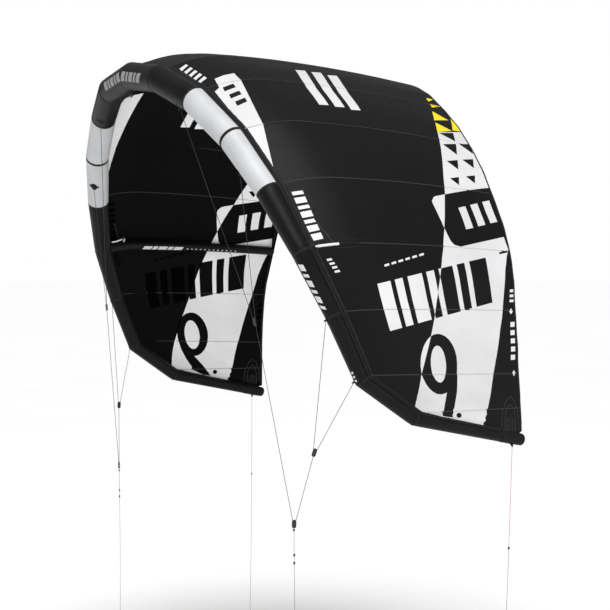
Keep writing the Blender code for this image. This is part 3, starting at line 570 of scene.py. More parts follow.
EDGE_BARS = [
    [(4.158, 0.029), (4.185, 0.028), (4.212, 0.028), (4.215, 0.048), (4.217, 0.070), (4.190, 0.070), (4.164, 0.070), (4.162, 0.049)],
    [(4.250, 0.027), (4.296, 0.026), (4.341, 0.025), (4.343, 0.046), (4.343, 0.068), (4.299, 0.068), (4.254, 0.069), (4.253, 0.048)],
    [(4.379, 0.025), (4.406, 0.024), (4.433, 0.024), (4.434, 0.045), (4.433, 0.067), (4.407, 0.067), (4.381, 0.067), (4.381, 0.046)],
    [(4.471, 0.023), (4.516, 0.022), (4.562, 0.022), (4.561, 0.043), (4.559, 0.065), (4.515, 0.065), (4.470, 0.066), (4.471, 0.044)],
    [(4.599, 0.021), (4.626, 0.021), (4.652, 0.020), (4.651, 0.042), (4.648, 0.064), (4.622, 0.064), (4.596, 0.064), (4.599, 0.042)],
    [(4.690, 0.019), (4.736, 0.019), (4.781, 0.018), (4.778, 0.040), (4.774, 0.062), (4.729, 0.062), (4.685, 0.063), (4.688, 0.041)],
    [(4.818, 0.017), (4.867, 0.016), (4.916, 0.015), (4.911, 0.037), (4.905, 0.060), (4.858, 0.061), (4.810, 0.061), (4.815, 0.039)],
    [(1.175, 0.020), (1.091, 0.054), (1.164, 0.054), (1.255, 0.019)],
    [(1.313, 0.019), (1.230, 0.053), (1.304, 0.053), (1.393, 0.018)],
    [(1.451, 0.018), (1.368, 0.052), (1.441, 0.052), (1.530, 0.017)],
    [(1.587, 0.017), (1.505, 0.051), (1.578, 0.051), (1.665, 0.016)],
    [(1.723, 0.016), (1.641, 0.050), (1.713, 0.050), (1.800, 0.015)],
]
REAR_DASHES = [
    [(6.181, 0.958), (6.176, 0.987), (6.250, 0.985), (6.256, 0.956)],
    [(6.304, 0.955), (6.299, 0.984), (6.371, 0.983), (6.377, 0.953)],
    [(6.425, 0.952), (6.420, 0.982), (6.492, 0.980), (6.499, 0.950)],
    [(6.547, 0.949), (6.541, 0.979), (6.616, 0.978), (6.623, 0.948)],
    [(6.673, 0.946), (6.667, 0.977), (6.746, 0.976), (6.753, 0.945)],
    [(5.653, 0.969), (5.645, 0.997), (5.691, 0.996), (5.699, 0.968)],
    [(5.738, 0.967), (5.730, 0.995), (5.775, 0.994), (5.783, 0.966)],
    [(5.822, 0.965), (5.814, 0.993), (5.859, 0.992), (5.867, 0.963)],
]
LEFT_BOWL = [
    [(6.789, 0.584), (6.898, 0.580), (7.013, 0.569), (7.151, 0.540), (7.279, 0.504), (7.388, 0.462), (7.465, 0.420), (7.504, 0.381), (7.503, 0.348), (7.462, 0.327), (7.384, 0.316), (7.276, 0.317), (7.145, 0.326), (7.003, 0.341), (6.895, 0.343), (6.788, 0.350), (6.687, 0.363), (6.595, 0.379), (6.516, 0.399), (6.455, 0.422), (6.412, 0.446), (6.391, 0.471), (6.391, 0.496), (6.413, 0.519), (6.456, 0.540), (6.518, 0.558), (6.596, 0.572), (6.687, 0.581)],
]
LEFT_EYE = [
    [(6.826, 0.518), (6.927, 0.514), (7.032, 0.500), (7.140, 0.473), (7.219, 0.445), (7.255, 0.420), (7.243, 0.402), (7.184, 0.394), (7.088, 0.396), (6.976, 0.401), (6.877, 0.402), (6.779, 0.407), (6.690, 0.418), (6.618, 0.432), (6.569, 0.448), (6.548, 0.465), (6.555, 0.482), (6.590, 0.497), (6.650, 0.509), (6.731, 0.516)],
]
LEFT_TAIL = [
    [(6.972, 0.341), (7.050, 0.336), (7.141, 0.324), (7.235, 0.311), (7.361, 0.297), (7.490, 0.281), (7.623, 0.263), (7.765, 0.247), (7.908, 0.231), (8.065, 0.174), (8.137, 0.143), (8.209, 0.105), (8.281, 0.059), (8.301, 0.077), (8.321, 0.097), (8.342, 0.117), (8.174, 0.262), (8.010, 0.355), (7.880, 0.366), (7.765, 0.367), (7.651, 0.368), (7.539, 0.368), (7.493, 0.369), (7.448, 0.370), (7.403, 0.371), (7.304, 0.372), (7.208, 0.372), (7.116, 0.372), (7.064, 0.363), (7.013, 0.355)],
]
LEFT_DOT = [
    [(8.157, 0.393), (8.212, 0.347), (8.252, 0.299), (8.266, 0.269), (8.250, 0.268), (8.209, 0.295), (8.153, 0.337), (8.099, 0.381), (8.061, 0.416), (8.047, 0.437), (8.063, 0.442), (8.103, 0.427)],
]
TIP_ARCHES = [
    [(8.815, -0.080), (8.669, 0.367), (8.489, 0.602), (8.301, 0.716), (8.120, 0.779), (8.023, 0.812), (7.933, 0.832), (7.843, 0.848), (7.752, 0.863), (7.716, 0.875), (7.679, 0.886), (7.643, 0.897), (7.607, 0.908), (7.645, 0.916), (7.683, 0.925), (7.722, 0.934), (7.761, 0.943), (7.857, 0.947), (7.953, 0.952), (8.048, 0.955), (8.150, 0.957), (8.327, 0.947), (8.515, 0.929), (8.707, 0.884), (8.882, 0.703)],
    [(8.827, -0.080), (8.697, 0.405), (8.536, 0.623), (8.367, 0.731), (8.200, 0.792), (8.131, 0.817), (8.064, 0.838), (7.999, 0.856), (7.939, 0.866), (7.919, 0.875), (7.899, 0.883), (7.879, 0.890), (7.859, 0.898), (7.894, 0.904), (7.929, 0.911), (7.964, 0.917), (7.999, 0.924), (8.079, 0.921), (8.162, 0.917), (8.250, 0.912), (8.341, 0.906), (8.486, 0.879), (8.633, 0.830), (8.774, 0.719), (8.889, 0.397)],
]
TIP_RIBS = [
    [(8.375, 0.743), (8.480, 0.688), (8.585, 0.606), (8.685, 0.476), (8.774, 0.258), (8.846, -0.080)],
    [(8.346, 0.779), (8.459, 0.732), (8.571, 0.658), (8.679, 0.538), (8.776, 0.326), (8.853, -0.056)],
    [(8.318, 0.813), (8.437, 0.772), (8.557, 0.707), (8.673, 0.598), (8.778, 0.395), (8.861, 0.003)],
    [(8.290, 0.845), (8.415, 0.809), (8.542, 0.753), (8.667, 0.656), (8.780, 0.465), (8.869, 0.065)],
    [(8.325, 0.860), (8.445, 0.828), (8.567, 0.777), (8.685, 0.687), (8.793, 0.510), (8.878, 0.133)],
    [(8.362, 0.878), (8.476, 0.849), (8.592, 0.803), (8.705, 0.722), (8.807, 0.561), (8.887, 0.207)],
    [(8.398, 0.897), (8.508, 0.872), (8.618, 0.832), (8.724, 0.762), (8.822, 0.618), (8.898, 0.290)],
]
PATCH_LINES = [
    [(4.568, 0.060), (4.626, 0.064), (4.684, 0.068), (4.742, 0.072), (4.799, 0.076), (4.856, 0.081), (4.912, 0.085), (4.965, 0.090), (5.018, 0.095)],
]


# ---------------------------------------------------------------- the materials
class Graph:
    """Small helper round a material's nodes."""

    def __init__(self, name, metallic=0.0, specular=0.5, sheen=0.0, sheen_rough=0.4, coat=0.0, coat_rough=0.2,
                 ior=1.5, subsurface=0.0, transmission=0.0, anisotropic=0.0):
        self.material = bpy.data.materials.new(name)
        self.material.use_nodes = True
        self.tree = self.material.node_tree
        self.shader = self.tree.nodes["Principled BSDF"]
        s = self.shader.inputs
        s["Metallic"].default_value = metallic
        s["Specular IOR Level"].default_value = specular
        s["Sheen Weight"].default_value = sheen
        s["Sheen Roughness"].default_value = sheen_rough
        s["Coat Weight"].default_value = coat
        s["Coat Roughness"].default_value = coat_rough
        s["IOR"].default_value = ior
        s["Subsurface Weight"].default_value = subsurface
        s["Transmission Weight"].default_value = transmission
        s["Anisotropic"].default_value = anisotropic

    def node(self, kind, **values):
        n = self.tree.nodes.new(kind)
        for key, value in values.items():
            setattr(n, key, value)
        return n

    def link(self, a, b):
        self.tree.links.new(a, b)

    def math(self, operation, a, b=None, c=None, clamp=False):
        n = self.node("ShaderNodeMath", operation=operation, use_clamp=clamp)
        for i, value in enumerate((a, b, c)):
            if value is None:
                continue
            if isinstance(value, (int, float)):
                n.inputs[i].default_value = value
            else:
                self.link(value, n.inputs[i])
        return n.outputs[0]

    def mix(self, factor, a, b):
        n = self.node("ShaderNodeMix", data_type="RGBA")
        for socket, value in ((n.inputs[0], factor), (n.inputs[6], a), (n.inputs[7], b)):
            if isinstance(value, (int, float)):
                socket.default_value = value
            elif isinstance(value, tuple):
                socket.default_value = (*value, 1.0)
            else:
                self.link(value, socket)
        return n.outputs[2]

    def noise(self, vector, scale, detail=3.0, rough=0.5):
        n = self.node("ShaderNodeTexNoise")
        n.inputs["Scale"].default_value = scale
        n.inputs["Detail"].default_value = detail
        n.inputs["Roughness"].default_value = rough
        self.link(vector, n.inputs["Vector"])
        return n.outputs[0]

    def bump(self, height, distance, strength=1.0, normal=None):
        n = self.node("ShaderNodeBump")
        n.inputs["Strength"].default_value = strength
        n.inputs["Distance"].default_value = distance
        self.link(height, n.inputs["Height"])
        if normal is not None:
            self.link(normal, n.inputs["Normal"])
        return n.outputs[0]

    def object_vector(self):
        return self.node("ShaderNodeTexCoord").outputs["Object"]

    def cloth_vector(self):
        return self.node("ShaderNodeUVMap", uv_map="cloth").outputs[0]

    def split(self, vector):
        n = self.node("ShaderNodeSeparateXYZ")
        self.link(vector, n.inputs[0])
        return n.outputs

    def surface(self, colour=None, roughness=None, normal=None):
        if colour is not None:
            self.link(colour, self.shader.inputs["Base Color"])
        if roughness is not None:
            self.link(roughness, self.shader.inputs["Roughness"])
        if normal is not None:
            self.link(normal, self.shader.inputs["Normal"])
        return self.material


def pulse(g, x, period, width):
    """1 on a line of the given width every period, else 0, with soft edges."""
    f = g.math("FRACT", g.math("DIVIDE", x, period))
    d = g.math("ABSOLUTE", g.math("SUBTRACT", f, 0.5))
    return g.math("MULTIPLY", g.math("SUBTRACT", width / period * 0.5 + 0.06, d), 1 / 0.12, clamp=True)


def woven(g, vector, pitch):
    """Plain weave height field of the given thread pitch."""
    x, y, _ = g.split(vector)
    a = g.math("SINE", g.math("MULTIPLY", x, math.pi / pitch))
    b = g.math("SINE", g.math("MULTIPLY", y, math.pi / pitch))
    return g.math("ABSOLUTE", g.math("MULTIPLY", a, b)), x, y


def ripstop(name, colour, rough, sheen=0.0, gloss=0.3):
    """Coated kite cloth: fine weave, a 5 mm grid of thicker threads, soft creases."""
    g = Graph(name, specular=gloss, sheen=sheen, sheen_rough=0.45)
    v = g.cloth_vector()
    weave, x, y = woven(g, v, 0.0006)
    grid = g.math("MAXIMUM", pulse(g, x, 0.005, 0.0007), pulse(g, y, 0.005, 0.0007))
    broad = g.noise(v, 2.2, 4.0, 0.55)
    fine = g.noise(v, 26.0, 3.0, 0.6)
    crease = g.noise(v, 9.0, 5.0, 0.65)
    dark = tuple(c * 0.86 for c in colour)
    light = tuple(min(1.0, c * 1.12 + 0.001) for c in colour)
    base = g.mix(g.math("MULTIPLY_ADD", broad, 1.6, -0.3, clamp=True), dark, light)
    thread = tuple(min(1.0, c * 1.22 + 0.004) for c in colour)
    base = g.mix(g.math("MULTIPLY", grid, 0.35), base, thread)
    r = g.math("MULTIPLY_ADD", fine, 0.16, rough - 0.08)
    r = g.math("MULTIPLY_ADD", broad, 0.10, g.math("SUBTRACT", r, 0.05), clamp=True)
    n = g.bump(crease, 0.0022, 0.55)
    n = g.bump(fine, 0.0005, 0.4, n)
    n = g.bump(g.math("ADD", weave, g.math("MULTIPLY", grid, 1.4)), 0.00012, 0.6, n)
    return g.surface(base, r, n)


def dacron(name, colour, rough, pitch=0.0009, wrinkle=0.5, gloss=0.35):
    """Heavier coated polyester of the inflated tubes, with its smooth shine; the crowns of its weave are painted a
    little lighter, a painted highlight.
    """
    g = Graph(name, specular=gloss, coat=0.0)
    v = g.cloth_vector()
    weave, x, y = woven(g, v, pitch)
    broad = g.noise(v, 3.5, 4.0, 0.5)
    fine = g.noise(v, 45.0, 3.0, 0.6)
    n_v = g.node("ShaderNodeMapping")
    n_v.inputs["Scale"].default_value = (5.0, 26.0, 1.0)
    g.link(v, n_v.inputs["Vector"])
    crease = g.noise(n_v.outputs[0], 1.0, 4.0, 0.55)
    dark = tuple(c * 0.84 for c in colour)
    light = tuple(min(1.0, c * 1.15 + 0.004) for c in colour)
    base = g.mix(g.math("MULTIPLY_ADD", broad, 1.5, -0.25, clamp=True), dark, light)
    # Lighter on the crowns of the weave: painted highlight.
    base = g.mix(g.math("MULTIPLY", weave, 0.16), base, tuple(min(1.0, c * 1.3 + 0.004) for c in colour))
    r = g.math("MULTIPLY_ADD", fine, 0.14, rough - 0.07)
    r = g.math("MULTIPLY_ADD", broad, 0.10, g.math("SUBTRACT", r, 0.05), clamp=True)
    n = g.bump(crease, 0.0030, wrinkle)
    n = g.bump(weave, 0.00018, 0.55, n)
    return g.surface(base, r, n)


def stitched(name, colour, thread, rows, rough=0.55):
    """Tape with rows of lock stitches: the cloth map runs along, then across."""
    g = Graph(name, specular=0.12)
    v = g.cloth_vector()
    weave, x, y = woven(g, v, 0.0011)
    dash = pulse(g, x, 0.0052, 0.0036)
    line = None
    for at in rows:
        near = g.math("MULTIPLY", g.math("SUBTRACT", 0.0009, g.math("ABSOLUTE", g.math("SUBTRACT", y, at))), 2500.0, clamp=True)
        line = near if line is None else g.math("MAXIMUM", line, near)
    stitch = g.math("MULTIPLY", dash, line)
    broad = g.noise(v, 14.0, 3.0)
    base = g.mix(broad, tuple(c * 0.8 for c in colour), tuple(min(1.0, c * 1.2 + 0.004) for c in colour))
    base = g.mix(stitch, base, thread)
    r = g.math("MULTIPLY_ADD", broad, 0.15, rough - 0.07)
    n = g.bump(g.math("ADD", weave, g.math("MULTIPLY", stitch, 3.0)), 0.0003, 0.8)
    n = g.bump(line, -0.0004, 0.6, n)
    return g.surface(base, r, n)


def braid(name, colour, second, switch=None, other=None, pitch=0.0030):
    """Plaited cord from its own length and turn; an optional height where it changes colour. The strands carry their
    colour on the crowns and the darker second colour in the grooves between them, painted shade.
    """
    g = Graph(name, specular=0.3)
    v = g.object_vector()
    z = g.split(v)[2]
    along, turn, _ = g.split(g.cloth_vector())
    a = g.math("MULTIPLY", along, math.pi / pitch)
    b = g.math("MULTIPLY", turn, math.pi * 8)
    plait = g.math("ABSOLUTE", g.math("MULTIPLY", g.math("SINE", g.math("ADD", a, b)), g.math("SINE", g.math("SUBTRACT", a, b))))
    fleck = g.noise(v, 420.0, 2.0)
    # Darker colour in the grooves of the plait: painted shade.
    base = g.mix(plait, second, colour)
    if switch is not None:
        upper = g.math("GREATER_THAN", z, switch)
        # The red lead is darker in its grooves too: painted shade.
        lead = g.mix(plait, tuple(c * 0.6 for c in other), other)
        base = g.mix(upper, base, lead)
    base = g.mix(g.math("MULTIPLY", fleck, 0.2), base, tuple(c * 0.55 for c in colour))
    r = g.math("MULTIPLY_ADD", fleck, 0.2, 0.55)
    return g.surface(base, r, g.bump(plait, 0.0004, 0.9))


def moulded(name, colour, rough, speck=900.0, metallic=0.0, coat=0.0):
    """Injection-moulded plastic with fine spark-eroded texture and rubbed patches."""
    g = Graph(name, specular=0.5, metallic=metallic, coat=coat, coat_rough=0.25)
    v = g.object_vector()
    grain = g.noise(v, speck, 2.0)
    worn = g.noise(v, 60.0, 4.0, 0.6)
    base = g.mix(g.math("MULTIPLY_ADD", worn, 1.8, -0.5, clamp=True), tuple(c * 0.8 for c in colour),
                 tuple(min(1.0, c * 1.35 + 0.006) for c in colour))
    r = g.math("MULTIPLY_ADD", worn, 0.22, rough - 0.1)
    n = g.bump(grain, 0.00012, 0.5)
    return g.surface(base, r, g.bump(worn, 0.0003, 0.2, n))


def turned_metal(name, colour):
    g = Graph(name, metallic=1.0, anisotropic=0.4)
    v = g.object_vector()
    x, y, z = g.split(v)
    lines = g.noise(v, 1400.0, 2.0)
    worn = g.noise(v, 110.0, 3.0)
    base = g.mix(worn, tuple(c * 0.75 for c in colour), colour)
    r = g.math("MULTIPLY_ADD", lines, 0.22, 0.16)
    return g.surface(base, r, g.bump(lines, 0.00006, 0.6))


def silicone(name, colour):
    g = Graph(name, specular=0.45, coat=0.1, coat_rough=0.35, subsurface=0.0)
    v = g.object_vector()
    cloud = g.noise(v, 35.0, 4.0)
    grime = g.noise(v, 160.0, 4.0, 0.6)
    base = g.mix(cloud, tuple(c * 0.88 for c in colour), colour)
    base = g.mix(g.math("MULTIPLY_ADD", grime, 0.9, -0.5, clamp=True), base, tuple(c * 0.6 for c in colour))
    r = g.math("MULTIPLY_ADD", grime, 0.2, 0.28)
    return g.surface(base, r, g.bump(grime, 0.0002, 0.4))


BLACK, WHITE, YELLOW = (0.0034, 0.0034, 0.0038), (0.62, 0.62, 0.63), (0.82, 0.66, 0.012)
SKIN_BLACK = ripstop("skin_black", BLACK, 0.48, 0.0, 0.12)
# Inner face of the black cloth: a darker copy of the outer black cloth, painted shade.
SKIN_BLACK_INNER_SHADED = ripstop("skin_black_inner_painted_shade", (0.0022, 0.0022, 0.0024), 0.55, 0.0, 0.035)
SKIN_WHITE = ripstop("skin_white", WHITE, 0.52)
# Inner face of the white cloth: a brighter copy of the outer white, painted light standing for light coming through the
# cloth.
WHITE_INNER_PAINTED_LIGHT = ripstop("skin_white_inner_painted_light", (0.90, 0.90, 0.90), 0.52)
SKIN_YELLOW = ripstop("skin_yellow", YELLOW, 0.50)
PRINT_WHITE = ripstop("print_white", (0.66, 0.66, 0.67), 0.44)
PRINT_BLACK = ripstop("print_black", (0.0030, 0.0030, 0.0032), 0.42, 0.0, 0.12)
PRINT_BACK = ripstop("print_back", (0.0006, 0.0006, 0.0006), 0.62, 0.0, 0.0)
TUBE_BLACK = dacron("tube_black", (0.0038, 0.0038, 0.0042), 0.40, gloss=0.12)
TUBE_WHITE = dacron("tube_white", (0.52, 0.525, 0.535), 0.42)
CUFF_BLACK = dacron("cuff_black", (0.0040, 0.0040, 0.0043), 0.55, 0.0014, 0.7, 0.14)
SEAM_GREY = stitched("seam_grey", (0.014, 0.014, 0.015), (0.075, 0.075, 0.078), (-0.0016, 0.0016))
TAPE_BLACK = stitched("tape_black", (0.0050, 0.0050, 0.0053), (0.055, 0.055, 0.057), (-0.008, 0.008))
HEM_BLACK = stitched("hem_black", (0.0050, 0.0050, 0.0053), (0.06, 0.06, 0.062), (-0.0032, 0.0032))
WEB_BLACK = stitched("web_black", (0.0060, 0.0060, 0.0064), (0.12, 0.12, 0.125), (-0.0045, 0.0045), 0.65)
PATCH_BLACK = stitched("patch_black", (0.012, 0.012, 0.013), (0.10, 0.10, 0.105), (-0.006, 0.0, 0.006), 0.6)
MARK_WHITE = dacron("mark_white", (0.66, 0.66, 0.67), 0.5, 0.0006, 0.2)
MARK_GREY = dacron("mark_grey", (0.26, 0.26, 0.265), 0.5, 0.0006, 0.2)
# The second colour of each braid is the painted shade in its grooves.
ROPE = braid("bridle_braid", (0.060, 0.060, 0.062), (0.022, 0.022, 0.023))
LINE = braid("line_braid", (0.17, 0.17, 0.175), (0.07, 0.07, 0.072), KNOT_Z, (0.60, 0.07, 0.065))
KNOT = braid("knot_braid", (0.020, 0.020, 0.021), (0.006, 0.006, 0.0065))
PLASTIC = moulded("pulley_nylon", (0.008, 0.008, 0.0085), 0.36)
VALVE = moulded("valve_plastic", (0.030, 0.030, 0.032), 0.38)
CLIP = moulded("clip_plastic", (0.034, 0.034, 0.037), 0.42)
STEEL = turned_metal("sheave_steel", (0.62, 0.63, 0.65))
HOSE = silicone("hose_silicone", (0.80, 0.80, 0.80))
for o in LINE_PIECES:
    o.data.materials.append(LINE)
for o in KNOT_PIECES:
    o.data.materials.append(KNOT)


# -------------------------------------------------------------- making meshes
def make(name, verts, faces, mats, uvs=None, slots=None, smooth=True, sharp=None, body="root", stands_for=()):
    """A piece from points and faces; uvs are one pair per face corner."""
    mesh = bpy.data.meshes.new(name)
    mesh.from_pydata([tuple(v) for v in verts], [], faces)
    for m in mats:
        mesh.materials.append(m)
    if slots is not None:
        mesh.polygons.foreach_set("material_index", slots)
    if uvs is not None:
        layer = mesh.uv_layers.new(name="cloth")
        layer.data.foreach_set("uv", [x for pair in uvs for x in pair])
    mesh.update()
    if smooth:
        mesh.shade_smooth()
        if sharp is not None:
            mesh.set_sharp_from_angle(angle=math.radians(sharp))
    o = bpy.data.objects.new(name, mesh)
    COLLECTION.objects.link(o)
    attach(o, body)
    if stands_for:
        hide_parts(*stands_for)
    return o


def outward(o):
    """Turn a closed mesh's faces to point out of it."""
    bm = bmesh.new()
    bm.from_mesh(o.data)
    if bm.calc_volume(signed=True) < 0:
        bmesh.ops.reverse_faces(bm, faces=bm.faces[:])
        bm.to_mesh(o.data)
    bm.free()
    return o


def loft(name, rings, lengths, mats, stands_for=(), body="root", closed=False, sharp=None, poles=(False, False)):
    """Skin over rings of equal count, with the cloth map in metres."""
    n = len(rings[0])
    verts, faces, uvs = [], [], []
    for r in rings:
        verts += r
    for i in range(len(rings) - 1):
        girth = [0.0]
        r = rings[i]
        for j in range(n):
            girth.append(girth[-1] + (r[(j + 1) % n] - r[j]).length)
        mean = max(girth[-1], 0.02)
        for j in range(n):
            k = (j + 1) % n
            a, b = i * n + j, i * n + k
            faces.append((a, b, b + n, a + n))
            v0, v1 = j / n * mean, (j + 1) / n * mean
            uvs += [(lengths[i], v0), (lengths[i], v1), (lengths[i + 1], v1), (lengths[i + 1], v0)]
    for end, is_pole in zip((0, len(rings) - 1), poles):
        if is_pole:
            centre = sum(rings[end], Vector()) / n
            verts.append(centre)
            c = len(verts) - 1
            for j in range(n):
                k = (j + 1) % n
                a, b = end * n + j, end * n + k
                face = (b, a, c) if end == 0 else (a, b, c)
                faces.append(face)
                uvs += [(lengths[end], 0.0), (lengths[end], 0.01), (lengths[end], 0.005)]
    return outward(make(name, verts, faces, mats, uvs, sharp=sharp, stands_for=stands_for, body=body))


def ribbon(name, frames, width, thick, mats, body="root", bevel=0.22, side=1):
    """Closed flat strip: frames are (centre, normal, across); it stands thick proud."""
    verts, faces, uvs = [], [], []
    section = [(-0.5, 0.0), (-0.5 + bevel / 2, 1.0), (0.0, 1.06), (0.5 - bevel / 2, 1.0), (0.5, 0.0), (0.0, -0.25)]
    n = len(section)
    along = [0.0]
    for (c0, *_), (c1, *_) in zip(frames, frames[1:]):
        along.append(along[-1] + (c1 - c0).length)
    for c, nn, a in frames:
        for x, y in section:
            p = c + a * (x * width) + nn * (y * thick)
            verts.append(Vector((p.x * side, p.y, p.z)))
    for i in range(len(frames) - 1):
        for j in range(n):
            k = (j + 1) % n
            faces.append((i * n + j, i * n + k, (i + 1) * n + k, (i + 1) * n + j))
            y0, y1 = section[j][0] * width, section[k][0] * width
            uvs += [(along[i], y0), (along[i], y1), (along[i + 1], y1), (along[i + 1], y0)]
    last = (len(frames) - 1) * n
    faces.append(tuple(range(n))[::-1])
    uvs += [(0.0, section[j][0] * width) for j in range(n)][::-1]
    faces.append(tuple(last + j for j in range(n)))
    uvs += [(along[-1], section[j][0] * width) for j in range(n)]
    return outward(make(name, verts, faces, mats, uvs, sharp=50, body=body))


def flip(p):
    return Vector((-p.x, p.y, p.z))


# ----------------------------------------------------------- the inflated tubes
TUBE_AROUND = 56
CUM = [0.0]
for k in range(TIP):
    CUM.append(CUM[-1] + (AXIS[k + 1] - AXIS[k]).length)


def arc_at(u):
    k = min(int(abs(u)), TIP - 1)
    a = lerp(CUM[k], CUM[k + 1], abs(u) - k)
    return a if u >= 0 else -a


def puff(u, angle):
    """How far the filled cloth stands out from the pattern: full between seams."""
    au = abs(u)
    k = min(int(au), TIP - 1)
    f = au - k
    length = (AXIS[k + 1] - AXIS[k]).length
    d0, d1 = f * length, (1 - f) * length
    if k == 0:
        d0 = 1.0
    if k == TIP - 1:
        d1 = 1.0
    d = min(d0, d1)
    seam = k if d0 < d1 else k + 1
    pinch = math.exp(-d / 0.016)
    ripple = math.exp(-d / 0.045) * (1 - pinch)
    inner = 0.5 - 0.5 * math.cos(angle - math.radians(95))
    waves = math.sin(13 * angle + 2.1 * seam) + 0.6 * math.sin(21 * angle + 1.3 * seam)
    return 0.0012 - 0.0026 * pinch + 0.0011 * ripple * waves * (1.15 - 0.5 * inner)


def tube_ring(u, extra, around=TUBE_AROUND):
    au = abs(u)
    points = [
        tube_at(au, 2 * math.pi * i / around, extra + puff(u, 2 * math.pi * i / around))
        for i in range(around)
    ]
    return points if u >= 0 else [flip(p) for p in points]


def tube_positions(u0, u1):
    """Positions of a run of tube, closer together at its seams."""
    out = []
    lo, hi = math.floor(u0), math.ceil(u1)
    for k in range(lo, hi):
        for f in (0.0, 0.006, 0.02, 0.045, 0.08, 0.13, 0.2, 0.3, 0.42, 0.5, 0.58, 0.7, 0.8, 0.87, 0.92, 0.955, 0.98, 0.994):
            u = k + f
            if u0 <= u <= u1:
                out.append(u)
    out.append(u1)
    return sorted(set(round(u, 5) for u in out))


def tube_piece(node, u0, u1, mat):
    us = tube_positions(u0, u1)
    rings = [tube_ring(us[0], -0.008)] + [tube_ring(u, 0.0) for u in us] + [tube_ring(us[-1], -0.008)]
    lengths = [arc_at(us[0]) - 0.008] + [arc_at(u) for u in us] + [arc_at(us[-1]) + 0.008]
    o = loft(f"{node}_cloth", rings, lengths, [mat], stands_for=(node,), sharp=60, poles=(False, False))
    return o


tube_piece("le_centre", -2.0, 2.0, TUBE_BLACK)
for side, wing in ((1, "right"), (-1, "left")):
    for node, u0, u1, mat, slot in (
        ("le_shoulder", 2.0, 4.0, TUBE_WHITE, "le_white"),
        ("le_side", 4.0, 6.0, TUBE_BLACK, "le_black"),
        ("le_outer", 6.0, 7.0, TUBE_BLACK, "le_black"),
        ("le_tip", 7.0, CAP_U, TUBE_BLACK, "le_black"),
    ):
        a, b = sorted((u0 * side, u1 * side))
        tube_piece(f"{node}_{wing}", a, b, mat)

    # The sewn cap: a sleeve and a dome gathered to its centre.
    rings, lengths = [], []
    for u, extra in ((CAP_U, -0.004), (CAP_U, 0.0008), (8.815, 0.0013), (8.86, 0.0012), (8.93, 0.0012)):
        rings.append([p for p in tube_ring(u * side, extra)])
        lengths.append(CUM[8] + (u - 8) * 0.7)
    n_dir, e_dir = FRAMES[TIP - 1]
    t_dir = SEG_DIR[TIP - 1]
    for deg in range(0, 88, 8):
        a = math.radians(deg)
        r0 = RADIUS[TIP] + 0.0008
        ring_points = []
        for i in range(TUBE_AROUND):
            w = 2 * math.pi * i / TUBE_AROUND
            gather = 1 + 0.035 * math.sin(a) * math.sin(14 * w)
            p = AXIS[TIP] + t_dir * (r0 * 0.62 * math.sin(a)) + (
                math.cos(w) * n_dir + math.sin(w) * e_dir) * (r0 * math.cos(a) * gather)
            ring_points.append(p if side > 0 else flip(p))
        rings.append(ring_points)
        lengths.append(CUM[9] + deg * 0.0006)
    o = loft(f"tip_cap_{wing}_cloth", rings, lengths, [CUFF_BLACK], stands_for=(f"tip_cap_{wing}",),
             poles=(False, True))


# --------------------------------------------------------------- the cloth skin
COLUMNS = {}


def column(u):
    key = round(u, 5)
    if key not in COLUMNS:
        start, end = tube_at(u, ATTACH, CANOPY_STANDOFF), trail_at(u)
        if u > 7.0:
            out = outward_at(7.0).lerp(Vector((1, 0, 0)), min(1.0, u - 7.0)).normalized()
        else:
            out = outward_at(u)
        chord = (end - start).length
        COLUMNS[key] = (start, end, out, catmull(CAMBER, u) * chord, chord)
    return COLUMNS[key]


def skin_fast(u, s):
    start, end, out, camber, _ = column(u)
    return lerp(start, end, s) + out * (camber * camber_shape(s))


def normal_fast(u, s):
    h = 0.02
    lo, hi = max(0.0, u - h), min(float(TIP), u + h)
    a = skin_fast(hi, s) - skin_fast(lo, s)
    if u < 1e-6:
        a = Vector((1, 0, 0))
    b = skin_fast(u, min(1.0, s + 0.01)) - skin_fast(u, max(0.0, s - 0.01))
    return a.cross(b).normalized()


def billow(u, s):
    """Fullness between seams, tucks by the tube and a slight flutter at the back."""
    f = u - int(u)
    chord = column(u)[4]
    full = math.sin(math.pi * f) ** 2 * min(1.0, 3.2 * s) * (1 - 0.75 * s * s)
    h = 0.0075 * full * min(1.0, chord / 1.2)
    near_strut = min(abs(u), abs(u - STRUT_STATION)) * 0.4
    free = min(1.0, near_strut / 0.10)
    back = s * chord
    tuck = math.exp(-back / 0.09) * (1 - math.exp(-back / 0.012))
    h += 0.0022 * tuck * math.sin(2 * math.pi * u * 7.0 + 1.1 * math.sin(u * 3.0)) * free
    rear = max(0.0, (s - 0.72) / 0.28)
    h += 0.0035 * rear * rear * (1 - rear * 0.5) * math.sin(2 * math.pi * u * 2.0 + 0.7) * math.sin(math.pi * f) * free
    h += 0.0022 * free * min(1.0, 8 * s) * (1 - s) * noise.noise(Vector((u * 1.9, s * 6.0, 3.7))) * min(1.0, chord)
    return h


def cloth_at(u, s, lift=0.0):
    """Middle of the cloth; a negative u is the left wing."""
    au = abs(u)
    p = skin_fast(au, s) + normal_fast(au, s) * (billow(au, s) + lift)
    return p if u >= 0 else flip(p)


def cloth_normal(u, s):
    n = normal_fast(abs(u), s)
    return n if u >= 0 else flip(n)


# Colour areas of the right wing in (seam position, chord fraction).
WHITE_REAR = [(2.82, 0.863), (3.19, 0.829), (3.67, 0.781), (4.13, 0.736), (3.88, 1.001), (3.30, 1.001), (2.68, 1.001)]


def inside(poly, u, s):
    hit = False
    j = len(poly) - 1
    for i in range(len(poly)):
        (x0, y0), (x1, y1) = poly[i], poly[j]
        if (y0 > s) != (y1 > s) and u < (x1 - x0) * (s - y0) / (y1 - y0) + x0:
            hit = not hit
        j = i
    return hit


KINDS = ["black", "white", "yellow", "print_white", "print_black"]


